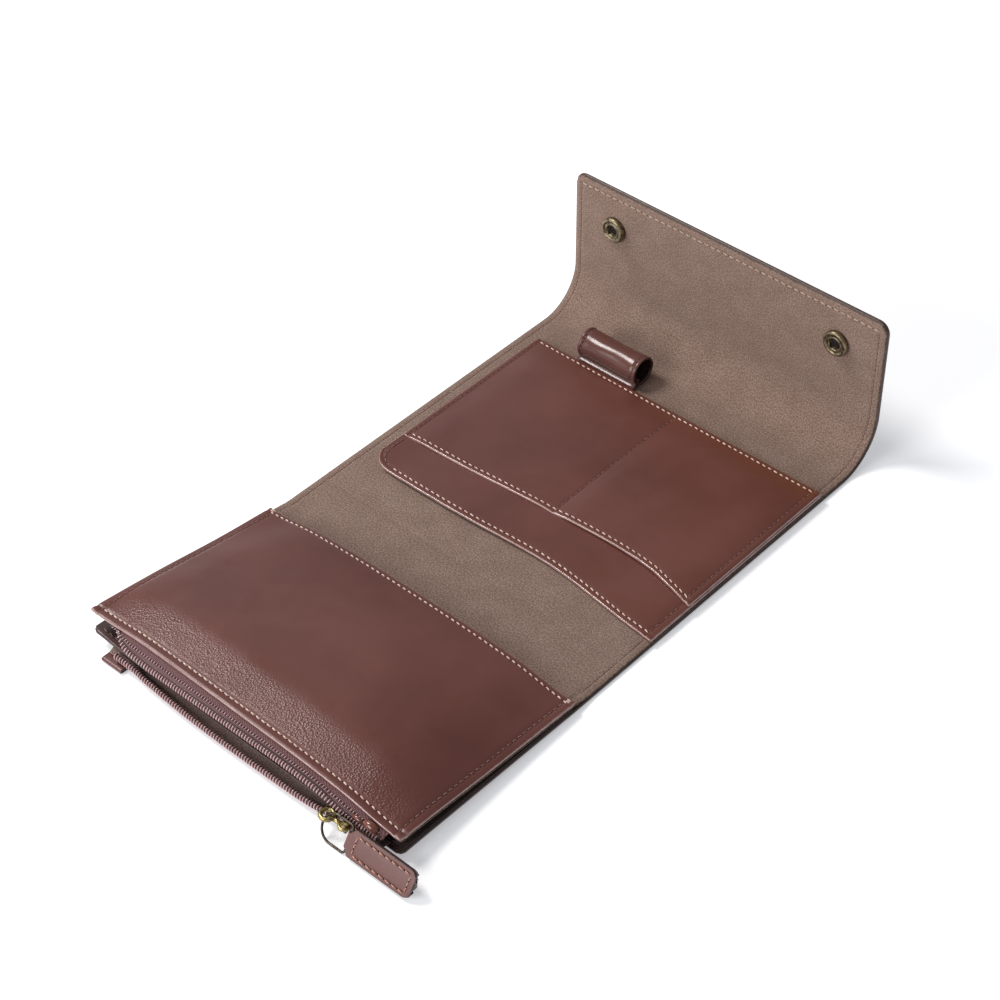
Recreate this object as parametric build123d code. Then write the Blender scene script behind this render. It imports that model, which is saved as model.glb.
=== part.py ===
from build123d import *
import os
from math import cos, radians, sin

# Travel passport holder in brown leather, opened out.
# Millimetres. +Z is up and +Y runs from the zip edge towards the flap.
# The origin is the middle of the back panel's underside, which lies on the table.
# The front panel folds over the back panel about a spine, and the flap closes over both.

# Overall sizes
WIDTH = 143.0  # across X, the same on every panel
BACK_LENGTH = 113.5  # spine hinge to flap hinge
SPINE_WIDTH = 21.5  # between the two spine hinges
FRONT_LENGTH = 96.7  # spine hinge to the zip edge
FLAP_LENGTH = 41.8  # straight part of the flap above its bend
BEND_RADIUS = 17.7  # inside radius of the flap's bend
CORNER_RADIUS = 4.0
GAP = 0.3  # half of the slit between two panels at a spine hinge
FLAP_GAP = 0.8  # the same at the flap's hinges, which also bend backwards
RUN = 0.3  # clearance between pieces that move past each other

# Sheet thicknesses
COVER = 1.0
BOARD = 0.6
SUEDE = 0.7
LEATHER = 1.2
HINGE_Z = COVER + BOARD + SUEDE  # top of the suede, where the hinges bend
BOARD_INSET = 4.0
SEAM = 3.5  # sewn border of a pocket

# Card panel on the back panel
CARD_PANEL_START = 5.0  # from the spine hinge, at the right edge
CARD_PANEL_RISE = 2.0  # how much further back the lower edge starts on the left
CARD_PANEL_TOP = 12.8  # from its top edge to the flap hinge
CARD_PANEL_SIDE = 8.0  # left margin beside the card panel
CARD_MOUTH = 26.8  # card pocket's mouth, from the spine hinge
CARD_CORNER = 9.0
SLOT = 0.6  # height of the flat slots
DIVIDER_X = 6.0
DIVIDER_WIDTH = 2.0

# Pen loop
PEN_RADIUS = 5.0
PEN_LENGTH = 28.0
PEN_START = 26.5  # from the left edge to the loop
PEN_WALL = 1.0
PEN_SPACE = 1.1  # between the loop and the card panel's top edge

# Front panel
POCKET_DEPTH = 83.0  # passport pocket, mouth to zip edge
STUD_LIFT = 2.1  # the snap studs hold the zip edge this far off the table
FRONT_HEIGHT = 15.9  # top of the leather at the zip edge
COIN_GAP = 5.0  # height of the coin pocket at the zip edge
MOUTH_GAP = 5.6  # height of the passport pocket at its mouth
STRAP_WIDTH = 10.0
STRAP_REACH = 5.0
STRAP_ROOT = 2.6  # length sewn under the cover
STRAP_LAYER = 0.85
STRAP_SLIT = 0.15
STRAP_EDGE = 8.5  # from the left edge to the strap loop

# Zip
TAPE = 0.5
CHAIN = 2.0  # height of one row of teeth
CHAIN_DEPTH = 1.8
CHAIN_OUT = 2.4  # chain's middle, out from the zip edge
CHAIN_MIDDLE = 5.95  # height of the zip's centre line
CHAIN_SPREAD = 3.05  # each row, above and below the centre line where the zip is open
CHAIN_LEFT = 14.0  # from the left edge to the start of the zip
CHAIN_RIGHT = 6.5  # from the right edge to the end of the zip
SLIDER_LENGTH = 8.0
SLIDER_HEIGHT = 4.4
SLIDER_PLATE = 0.6
SLIDER_X = 53.0  # the slider's middle with the zip open
POST_HEIGHT = 1.5

# Pull on the slider
LINK_THICK = 1.3
LINK_RAISE = 0.5  # link above the zip's centre line
LINK_LENGTH = 7.8
PIN_RADIUS = 0.6
PIN_FIT = 0.08
LUG = 0.7
LUG_WIDTH = 2.0
EYE_RADIUS = 3.4
EYE_HOLE = 2.2
KNUCKLE_RADIUS = 1.1
NECK = 2.0
WIRE = 0.45  # radius of the wire ring
RING_DEPTH = 11.4
RING_CORNER = 1.2
RING_SIDE = 0.05  # ring's arms, in from the tab's edges
TAB_LENGTH = 28.0
TAB_WIDTH = 10.0
TAB_THICK = 2.4
TAB_ANGLE = 56.0  # lean of the tab against the zip edge
TAB_OUT = 7.4  # tab's middle, out from the zip edge
TAB_CHANNEL = 0.8
TAB_TIP = 3.0
TAB_NOTCH = 4.4  # twice the depth of the notches beside the fold

# Snaps
SNAP_X = 51.7
SNAP_FROM_BEND = 25.0  # socket's middle, up the flap from the bend
SOCKET_RADIUS = 5.3
SOCKET_HOLE = 2.1
SOCKET_HEIGHT = 2.4
STUD_RADIUS = 1.75
STUD_FLANGE = 4.6
STUD_FLANGE_HEIGHT = 0.35
CAP_RADIUS = 6.0
CAP_HEIGHT = 0.9

# Places that follow from the sizes above
X_EDGE = WIDTH / 2
Y_SPINE_BACK = -BACK_LENGTH / 2
Y_SPINE_FRONT = Y_SPINE_BACK - SPINE_WIDTH
Y_ZIP = Y_SPINE_FRONT - FRONT_LENGTH
Y_MOUTH = Y_ZIP + POCKET_DEPTH
Y_FLAP = BACK_LENGTH / 2
Z_BEND_TOP = HINGE_Z + BEND_RADIUS
Y_FLAP_FACE = Y_FLAP + BEND_RADIUS
Y_CHAIN = Y_ZIP - CHAIN_OUT
Z_FRONT_COVER = STUD_LIFT + COVER
Z_COIN_FLOOR = Z_FRONT_COVER + BOARD
Z_DIVIDER = Z_COIN_FLOOR + COIN_GAP
Z_LEATHER = FRONT_HEIGHT - LEATHER
SHEET = COVER + BOARD + SUEDE


def slab(x0, x1, y0, y1, z0, z1):
    """A rectangular block between two corners."""
    centre = Pos((x0 + x1) / 2, (y0 + y1) / 2, (z0 + z1) / 2)
    return centre * Box(abs(x1 - x0), abs(y1 - y0), abs(z1 - z0))


def side_profile(points, x0, x1):
    """A (y, z) outline carried across from x0 to x1."""
    face = make_face(Polyline(*[(x0, y, z) for y, z in points], close=True))
    return extrude(face, amount=x1 - x0, dir=(1, 0, 0))


def front_profile(points, y0, y1):
    """An (x, z) outline carried from y0 to y1."""
    face = make_face(Polyline(*[(x, y0, z) for x, z in points], close=True))
    return extrude(face, amount=y1 - y0, dir=(0, 1, 0))


def round_upright(part, at, radius):
    """Rounds the upright edges nearest to the given (x, y) places."""
    edges = part.edges().filter_by(Axis.Z)
    picked = [min(edges, key=lambda e: (e.center().X - x) ** 2 + (e.center().Y - y) ** 2) for x, y in at]
    return fillet(picked, radius)


def disc(x, y, z0, z1, radius):
    return Pos(x, y, (z0 + z1) / 2) * Cylinder(radius, z1 - z0)


def cylinder_y(x, z, y0, y1, radius):
    return Pos(x, (y0 + y1) / 2, z) * Rot(90, 0, 0) * Cylinder(radius, abs(y1 - y0))


def rise(y, low, high):
    """Height of a leaf at y that climbs from low at the pocket's mouth to high at the zip edge."""
    return low + (high - low) * (Y_MOUTH - y) / POCKET_DEPTH


# Back panel: cover, board and suede lining, flat on the table
def back_sheet(z0, z1, inset=0.0):
    return slab(-X_EDGE + inset, X_EDGE - inset, Y_SPINE_BACK + GAP + inset, Y_FLAP - FLAP_GAP - inset, z0, z1)


def framed(outer, board):
    """A sheet with a pocket cut in it, in which the stiffening board lies."""
    return outer - board


def back_board():
    return back_sheet(COVER, COVER + BOARD, BOARD_INSET)


def lining_back():
    return framed(back_sheet(COVER, HINGE_Z), back_board())


def card_outline(y_left, y_right, corner):
    """Plan of a card panel layer, from its lower edge to the card panel's top edge."""
    left = -X_EDGE + CARD_PANEL_SIDE
    top = Y_FLAP - CARD_PANEL_TOP
    outline = Polyline((left, y_left), (X_EDGE, y_right), (X_EDGE, top), (left, top), close=True)
    face = make_face(outline)
    if corner:
        start = min(face.vertices(), key=lambda v: v.X + v.Y)
        face = fillet(start, corner)
    return face


def card_layer(y_left, y_right, z0, z1, corner=0):
    return Pos(0, 0, z0) * extrude(card_outline(y_left, y_right, corner), amount=z1 - z0, dir=(0, 0, 1))


def card_panel_backing():
    """Leaf that carries the cards. It is sewn down at its top and right edges; the slot under it is open."""
    low = Y_SPINE_BACK + CARD_PANEL_START
    z0 = HINGE_Z + SLOT
    leaf = card_layer(low + CARD_PANEL_RISE, low, HINGE_Z, z0 + LEATHER, CARD_CORNER)
    top = Y_FLAP - CARD_PANEL_TOP
    slot = slab(-X_EDGE, X_EDGE - SEAM, low - CARD_CORNER, top - SEAM, HINGE_Z - SLOT, z0)
    return leaf - slot


def card_pocket():
    """Front of the two card pockets, sewn at the sides, the top and the divider; its lower edge is open."""
    mouth = Y_SPINE_BACK + CARD_MOUTH
    top = Y_FLAP - CARD_PANEL_TOP
    z0 = HINGE_Z + SLOT + LEATHER
    leaf = card_layer(mouth, mouth, z0, z0 + SLOT + LEATHER)
    left = -X_EDGE + CARD_PANEL_SIDE
    for x0, x1 in ((left + SEAM, DIVIDER_X - DIVIDER_WIDTH / 2), (DIVIDER_X + DIVIDER_WIDTH / 2, X_EDGE - SEAM)):
        leaf -= slab(x0, x1, mouth - SEAM, top - SEAM, z0 - SLOT, z0 + SLOT)
    return leaf


def pen_loop():
    """Leather tube for a pen, with a tail sewn along the card panel's top edge."""
    x0 = -X_EDGE + PEN_START
    x1 = x0 + PEN_LENGTH
    edge = Y_FLAP - CARD_PANEL_TOP
    y = edge + PEN_SPACE + PEN_RADIUS + PEN_WALL
    z = HINGE_Z + PEN_WALL + PEN_RADIUS
    turn = Rot(0, 90, 0)
    tube = Pos((x0 + x1) / 2, y, z) * turn * Cylinder(PEN_RADIUS + PEN_WALL, PEN_LENGTH)
    tail = slab(x0, x1, edge, y, HINGE_Z, HINGE_Z + PEN_WALL)
    bore = Pos((x0 + x1) / 2, y, z) * turn * Cylinder(PEN_RADIUS, PEN_LENGTH + SEAM)
    return tube + tail - bore


# Spine: the strip between the two panels
def spine_sheet(z0, z1):
    return slab(-X_EDGE, X_EDGE, Y_SPINE_FRONT + GAP, Y_SPINE_BACK - GAP, z0, z1)


# Front panel: a lower leaf and an upper leaf joined by the zip, with the passport pocket on top
def climbing_sheet(low0, low1, high0, high1, y_end=Y_ZIP, x=X_EDGE):
    """A sheet that is flat to the pocket's mouth and climbs from there to the zip edge."""
    points = [
        (Y_SPINE_FRONT - GAP, low0),
        (Y_MOUTH, low0),
        (y_end, rise(y_end, low0, high0)),
        (y_end, rise(y_end, low1, high1)),
        (Y_MOUTH, low1),
        (Y_SPINE_FRONT - GAP, low1),
    ]
    return side_profile(points, -x, x)


def outer_cover_front():
    cover = climbing_sheet(0, COVER, STUD_LIFT, Z_FRONT_COVER)
    return round_upright(cover, [(-X_EDGE, Y_ZIP), (X_EDGE, Y_ZIP)], CORNER_RADIUS / 2)


def coin_pocket_lining():
    return climbing_sheet(COVER, COVER + BOARD, Z_FRONT_COVER, Z_COIN_FLOOR)


def lining_front():
    """Suede leaf: floor of the passport pocket, with its sides sewn down and a front wall up to the leather."""
    base = COVER + BOARD
    wall = Y_ZIP + 2 * TAPE + 0.5
    leaf = climbing_sheet(base, HINGE_Z, Z_DIVIDER, Z_DIVIDER + SUEDE, wall)
    for side in (-1, 1):
        inner = side * (X_EDGE - SEAM)
        rim = [(Y_MOUTH, base), (wall, rise(wall, base, Z_COIN_FLOOR)), (wall, rise(wall, base, Z_DIVIDER))]
        leaf += side_profile(rim, min(inner, side * X_EDGE), max(inner, side * X_EDGE))
    top = [
        (wall, rise(wall, base, Z_DIVIDER)),
        (wall, rise(wall, HINGE_Z + MOUTH_GAP, Z_LEATHER)),
        (wall + SUEDE, rise(wall + SUEDE, HINGE_Z + MOUTH_GAP, Z_LEATHER)),
        (wall + SUEDE, rise(wall + SUEDE, base, Z_DIVIDER)),
    ]
    return leaf + side_profile(top, -X_EDGE, X_EDGE)


def passport_pocket():
    """Leather front of the passport pocket, sewn to the suede leaf along both sides."""
    low = HINGE_Z + MOUTH_GAP
    top = [(Y_MOUTH, low), (Y_ZIP, Z_LEATHER), (Y_ZIP, FRONT_HEIGHT), (Y_MOUTH, low + LEATHER)]
    leaf = side_profile(top, -X_EDGE, X_EDGE)
    wall = Y_ZIP + 2 * TAPE + 0.5
    for side in (-1, 1):
        inner = side * (X_EDGE - SEAM)
        rim = [
            (Y_MOUTH, HINGE_Z),
            (wall + SUEDE, rise(wall + SUEDE, HINGE_Z, Z_DIVIDER + SUEDE)),
            (wall + SUEDE, rise(wall + SUEDE, low, Z_LEATHER)),
            (Y_MOUTH, low),
        ]
        leaf += side_profile(rim, min(inner, side * X_EDGE), max(inner, side * X_EDGE))
    return leaf


def strap_loop():
    """Folded strip of leather sewn under the cover at the left end of the zip, for a wrist strap."""
    x0 = -X_EDGE + STRAP_EDGE
    x1 = x0 + STRAP_WIDTH
    front = Y_ZIP - STRAP_REACH
    back = Y_ZIP + STRAP_ROOT
    strip = slab(x0, x1, front, back, 0, 2 * STRAP_LAYER + STRAP_SLIT)
    return strip - slab(x0, x1, front + STRAP_LAYER, back, STRAP_LAYER, STRAP_LAYER + STRAP_SLIT)


# Zip
X_ZIP_LEFT = -X_EDGE + CHAIN_LEFT
X_ZIP_RIGHT = X_EDGE - CHAIN_RIGHT
X_MEET_START = SLIDER_X - SLIDER_LENGTH / 2
X_MEET_END = SLIDER_X + SLIDER_LENGTH / 2 - 2


def chain_line(offset, up):
    """Outline points of a row's middle line, moved by offset; up is 1 for the upper row and -1 for the lower."""
    spread = CHAIN_MIDDLE + up * CHAIN_SPREAD + offset
    closed = CHAIN_MIDDLE + up * CHAIN / 2 + offset
    return [(X_ZIP_LEFT, spread), (X_MEET_START, spread), (X_MEET_END, closed), (X_ZIP_RIGHT, closed)]


def zip_chain(up):
    lower = chain_line(-CHAIN / 2, up)
    upper = chain_line(CHAIN / 2, up)
    return front_profile(lower + upper[::-1], Y_CHAIN - CHAIN_DEPTH / 2, Y_CHAIN + CHAIN_DEPTH / 2)


def zip_tape_upper():
    """Tape from under the leather's front edge down to the upper row of teeth."""
    y0 = Y_ZIP + TAPE / 2
    y1 = y0 + TAPE
    head = rise(y1, HINGE_Z + MOUTH_GAP, Z_LEATHER)
    foot = CHAIN_MIDDLE
    strip = side_profile(
        [(y0, head), (y1, head), (Y_CHAIN + TAPE / 2, foot), (Y_CHAIN - TAPE / 2, foot)],
        X_ZIP_LEFT,
        X_ZIP_RIGHT,
    )
    edge = chain_line(CHAIN / 2, 1)
    under = edge + [(X_ZIP_RIGHT, 0), (X_ZIP_LEFT, 0)]
    return strip - front_profile(under, Y_CHAIN - 2 * CHAIN_DEPTH, Y_ZIP + 2 * CHAIN_DEPTH)


def zip_tape_lower():
    """Tape on the lower leaf's front edge, up to the lower row of teeth."""
    return slab(X_ZIP_LEFT, X_ZIP_RIGHT, Y_CHAIN + CHAIN_DEPTH / 2, Y_ZIP, Z_FRONT_COVER - TAPE, Z_FRONT_COVER)


PLATE_GAP = CHAIN_DEPTH / 2 + RUN
Y_PLATE = Y_CHAIN - PLATE_GAP - SLIDER_PLATE
Z_SLIDER_LOW = CHAIN_MIDDLE - SLIDER_HEIGHT / 2
Z_SLIDER_HIGH = CHAIN_MIDDLE + SLIDER_HEIGHT / 2
Y_PIN = Y_PLATE - RUN - NECK / 2
Z_LINK = CHAIN_MIDDLE + LINK_RAISE - LINK_THICK / 2
X_PIN = SLIDER_X
X_EYE = X_PIN - LINK_LENGTH


def slider_body():
    """Two plates with the teeth between them, joined by a post that parts the two rows."""
    x0 = SLIDER_X - SLIDER_LENGTH / 2
    x1 = x0 + SLIDER_LENGTH
    body = slab(x0, x1, Y_PLATE, Y_PLATE + SLIDER_PLATE, Z_SLIDER_LOW, Z_SLIDER_HIGH)
    inner = Y_CHAIN + PLATE_GAP
    body += slab(x0, x1, inner, inner + SLIDER_PLATE, Z_SLIDER_LOW, Z_SLIDER_HIGH)
    z = CHAIN_MIDDLE
    body += slab(x0 + 0.3, x0 + 2, Y_PLATE, inner + SLIDER_PLATE, z - POST_HEIGHT / 2, z + POST_HEIGHT / 2)
    return body


def slider_bail():
    """Two lugs on the slider's front plate that hold the pin."""
    low = Z_LINK - RUN
    high = Z_LINK + LINK_THICK + RUN
    bail = disc(X_PIN, Y_PIN, low - LUG / 2, high + LUG / 2, PIN_RADIUS)
    for z0 in (low - LUG, high):
        bail += slab(X_PIN - LUG_WIDTH / 2, X_PIN + LUG_WIDTH / 2, Y_PIN - LUG_WIDTH / 2, Y_PLATE, z0, z0 + LUG)
    return bail


def pull_link():
    """Figure-eight link: a small knuckle on the pin, a neck and a large eye for the wire ring."""
    z0 = Z_LINK
    z1 = Z_LINK + LINK_THICK
    link = disc(X_EYE, Y_PIN, z0, z1, EYE_RADIUS) + disc(X_PIN, Y_PIN, z0, z1, KNUCKLE_RADIUS)
    link += slab(X_EYE, X_PIN, Y_PIN - NECK / 2, Y_PIN + NECK / 2, z0, z1)
    link -= disc(X_EYE, Y_PIN, z0 - 1, z1 + 1, EYE_HOLE)
    return link - disc(X_PIN, Y_PIN, z0 - 1, z1 + 1, PIN_RADIUS + PIN_FIT)


# Pull tab: its long side leans on the zip edge, so its width climbs at TAB_ANGLE
TAB_LEAN = radians(TAB_ANGLE)
TAB_Y = Y_ZIP - TAB_OUT
TAB_Z = TAB_WIDTH / 2 * sin(TAB_LEAN) + TAB_THICK / 2 * cos(TAB_LEAN)
X_FOLD = X_EYE + RING_DEPTH
TAB_PLANE = Plane(origin=(X_FOLD, TAB_Y, TAB_Z), x_dir=(1, 0, 0), z_dir=(0, -sin(TAB_LEAN), cos(TAB_LEAN)))


def wire_ring():
    """D-shaped wire ring: a straight side in the tab's fold and a bow through the link's eye."""
    half = TAB_WIDTH / 2 - RING_SIDE
    corners = [(0, -half), (-RING_DEPTH, -half), (-RING_DEPTH, half), (0, half)]
    line = FilletPolyline(*corners, radius=[RING_CORNER, half * 0.99, half * 0.99, RING_CORNER], close=True)
    path = TAB_PLANE * line
    start = path.edges()[0]
    return sweep(Plane(start @ 0.5, z_dir=start % 0.5) * Circle(WIRE), path=path)


def pull_tab():
    """Leather strip folded round the ring's straight side and stitched to itself."""
    half = TAB_WIDTH / 2
    strip = Pos(TAB_LENGTH / 2, 0, 0) * Box(TAB_LENGTH, TAB_WIDTH, TAB_THICK)
    tip = [e for e in strip.edges().filter_by(Axis.Z) if e.center().X > TAB_LENGTH - 1]
    strip = fillet(tip, TAB_TIP)
    fold = Rot(90, 0, 0) * Cylinder(TAB_THICK / 2, TAB_WIDTH)
    channel = Rot(90, 0, 0) * Cylinder(TAB_CHANNEL, TAB_WIDTH + 2)
    tab = strip + fold - channel
    for side in (-1, 1):
        tab -= Pos(-TAB_THICK / 2, side * half, 0) * Box(TAB_THICK + 2 * TAB_CHANNEL, TAB_NOTCH, TAB_THICK + 1)
    return TAB_PLANE * tab


# Flap: a bent piece that rises from the back panel, and the straight flap above it
def bend_sheet(r0, r1):
    """Quarter turn of a sheet between two radii about the bend's centre line."""
    ring = Cylinder(r1, WIDTH) - Cylinder(r0, WIDTH)
    whole = Pos(0, Y_FLAP, Z_BEND_TOP) * Rot(0, 90, 0) * ring
    reach = 2 * r1
    return whole & slab(-X_EDGE, X_EDGE, Y_FLAP + FLAP_GAP, Y_FLAP + reach, Z_BEND_TOP - reach, Z_BEND_TOP - FLAP_GAP)


def flap_sheet(out0, out1, inset=0.0):
    """Upright sheet, between two distances out from the flap's inner face."""
    top = Z_BEND_TOP + FLAP_LENGTH - inset
    y0 = Y_FLAP_FACE + out0
    y1 = Y_FLAP_FACE + out1
    sheet = slab(-X_EDGE + inset, X_EDGE - inset, y0, y1, Z_BEND_TOP + FLAP_GAP + inset, top)
    tips = [e for e in sheet.edges().filter_by(Axis.Y) if e.center().Z > top - 0.1]
    return fillet(tips, CORNER_RADIUS)


def snap_places():
    return [(side * SNAP_X, Z_BEND_TOP + SNAP_FROM_BEND) for side in (-1, 1)]


def snap_sockets():
    """Two ring sockets on the flap's suede face, each with a hole for its stud."""
    parts = []
    for x, z in snap_places():
        ring = cylinder_y(x, z, Y_FLAP_FACE - SOCKET_HEIGHT, Y_FLAP_FACE, SOCKET_RADIUS)
        outer = ring.edges().filter_by(GeomType.CIRCLE).sort_by(Axis.Y)[0]
        parts.append(fillet(outer, 0.8) - cylinder_y(x, z, Y_FLAP_FACE - SOCKET_HEIGHT - 1, Y_FLAP_FACE, SOCKET_HOLE))
    return Compound(children=parts)


def snap_caps():
    """Two domed caps on the outside of the flap, which clinch the sockets."""
    parts = []
    outer = Y_FLAP_FACE + SHEET
    for x, z in snap_places():
        cap = cylinder_y(x, z, outer, outer + CAP_HEIGHT, CAP_RADIUS)
        rim = cap.edges().filter_by(GeomType.CIRCLE).sort_by(Axis.Y)[-1]
        parts.append(fillet(rim, CAP_HEIGHT * 0.7))
    return Compound(children=parts)


def snap_studs():
    """Two studs under the front panel, where the sockets land when everything is closed."""
    y = Y_SPINE_BACK + Y_SPINE_FRONT - (Y_FLAP - SNAP_FROM_BEND)
    slope = rise(y, 0, STUD_LIFT)
    parts = []
    for side in (-1, 1):
        x = side * SNAP_X
        flange = disc(x, y, slope - STUD_FLANGE_HEIGHT, slope + COVER / 2, STUD_FLANGE)
        post = disc(x, y, 0, slope, STUD_RADIUS)
        cover = side_profile([(Y_MOUTH, 0), (Y_ZIP, STUD_LIFT), (Y_ZIP, 20), (Y_MOUTH, 20)], -X_EDGE, X_EDGE)
        parts.append(flange + post - cover)
    return Compound(children=parts)


def build():
    """Every piece by its node name."""
    board = back_board()
    flap_board = flap_sheet(SUEDE, SUEDE + BOARD, BOARD_INSET)
    return {
        "outer_cover_back": back_sheet(0, COVER),
        "stiffener_back": board,
        "lining_back": lining_back(),
        "card_panel_backing": card_panel_backing(),
        "card_pocket": card_pocket(),
        "pen_loop": pen_loop(),
        "outer_cover_spine": spine_sheet(0, COVER),
        "lining_spine": spine_sheet(COVER, HINGE_Z),
        "outer_cover_front": outer_cover_front(),
        "coin_pocket_lining": coin_pocket_lining(),
        "lining_front": lining_front(),
        "passport_pocket": passport_pocket(),
        "strap_loop": strap_loop(),
        "zip_tape_upper": zip_tape_upper(),
        "zip_tape_lower": zip_tape_lower(),
        "zip_chain_upper": zip_chain(1),
        "zip_chain_lower": zip_chain(-1),
        "snap_studs": snap_studs(),
        "slider_body": slider_body(),
        "slider_bail": slider_bail(),
        "pull_link": pull_link(),
        "wire_ring": wire_ring(),
        "pull_tab": pull_tab(),
        "outer_cover_bend": bend_sheet(BEND_RADIUS + SUEDE + BOARD, BEND_RADIUS + SHEET),
        "lining_bend": bend_sheet(BEND_RADIUS, BEND_RADIUS + SUEDE + BOARD),
        "outer_cover_flap": flap_sheet(SUEDE + BOARD, SHEET),
        "stiffener_flap": flap_board,
        "lining_flap": framed(flap_sheet(0, SUEDE + BOARD), flap_board),
        "snap_sockets": snap_sockets(),
        "snap_caps": snap_caps(),
    }


os.makedirs("parts", exist_ok=True)
for node, piece in build().items():
    export_step(piece, f"parts/{node}.step")
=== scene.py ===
"""Looks for the travel passport holder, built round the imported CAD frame.

Lengths are in millimetres until a mesh is made, and are turned to metres there.
X runs along the zip, +Y from the zip edge towards the flap, and +Z up from the table.
"""

import random
from math import cos, pi, radians, sin, sqrt

import bmesh
import bpy
import numpy as np
from mathutils import Matrix, Vector


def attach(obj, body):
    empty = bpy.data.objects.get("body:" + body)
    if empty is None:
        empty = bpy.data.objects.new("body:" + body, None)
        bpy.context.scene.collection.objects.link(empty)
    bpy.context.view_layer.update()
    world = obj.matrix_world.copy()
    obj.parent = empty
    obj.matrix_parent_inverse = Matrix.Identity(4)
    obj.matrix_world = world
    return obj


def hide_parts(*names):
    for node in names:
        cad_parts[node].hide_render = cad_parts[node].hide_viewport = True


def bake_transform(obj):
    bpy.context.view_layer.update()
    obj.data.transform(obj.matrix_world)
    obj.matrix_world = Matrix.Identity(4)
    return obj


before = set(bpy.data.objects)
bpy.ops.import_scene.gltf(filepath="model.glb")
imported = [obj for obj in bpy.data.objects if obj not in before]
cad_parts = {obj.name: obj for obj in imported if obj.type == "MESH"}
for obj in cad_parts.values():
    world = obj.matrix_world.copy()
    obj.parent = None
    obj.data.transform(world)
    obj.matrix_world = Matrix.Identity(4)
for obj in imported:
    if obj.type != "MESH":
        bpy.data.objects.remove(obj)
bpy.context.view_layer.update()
random.seed(7)
MM = 0.001

# Sizes and places shared with the CAD model
X_EDGE = 71.5
Y_FLAP = 56.75
Y_SPINE_BACK = -56.75
Y_SPINE_FRONT = -78.25
Y_MOUTH = -91.95
Y_ZIP = -174.95
BEND_RADIUS = 17.7
HINGE_Z = 2.3
Z_BEND_TOP = HINGE_Z + BEND_RADIUS
FLAP_TIP = 61.8
HALF = X_EDGE - 0.4  # to where a sheet's rounded rim starts
COVER = 1.5  # leather and board together
SUEDE = 0.8
LEATHER = 1.2
SIDE_SEAM = 2.9  # stitch line, in from a side edge
CARD_LEFT = -63.5
CARD_TOP = 43.95
CARD_CORNER = 9.0
DIVIDER_X = 6.0
PEN_AXIS = (51.05, 8.3)
PEN_OUTER = 6.0
SNAPS = ((-51.7, 45.0), (51.7, 45.0))
ARC = BEND_RADIUS * pi / 2
S_BEND = Y_FLAP  # distances along the leaf to the bend, the flap and its tip
S_FLAP = Y_FLAP + ARC
S_TIP = S_FLAP + FLAP_TIP - Z_BEND_TOP
Y_SPINE_MID = -66.5  # where the front and the spine run meet


# ---------------------------------------------------------------- node helpers
def new_material(name, roughness=0.5, metallic=0.0, specular=0.5, sheen=0.0, coat=0.0):
    mat = bpy.data.materials.new(name)
    mat.use_nodes = True
    shader = mat.node_tree.nodes["Principled BSDF"]
    names = ("Roughness", "Metallic", "Specular IOR Level", "Sheen Weight", "Coat Weight")
    for key, value in zip(names, (roughness, metallic, specular, sheen, coat)):
        shader.inputs[key].default_value = value
    return mat


WAVE_RATE = 3.1831  # bands that a wave texture of scale 1 has in a unit


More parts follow.
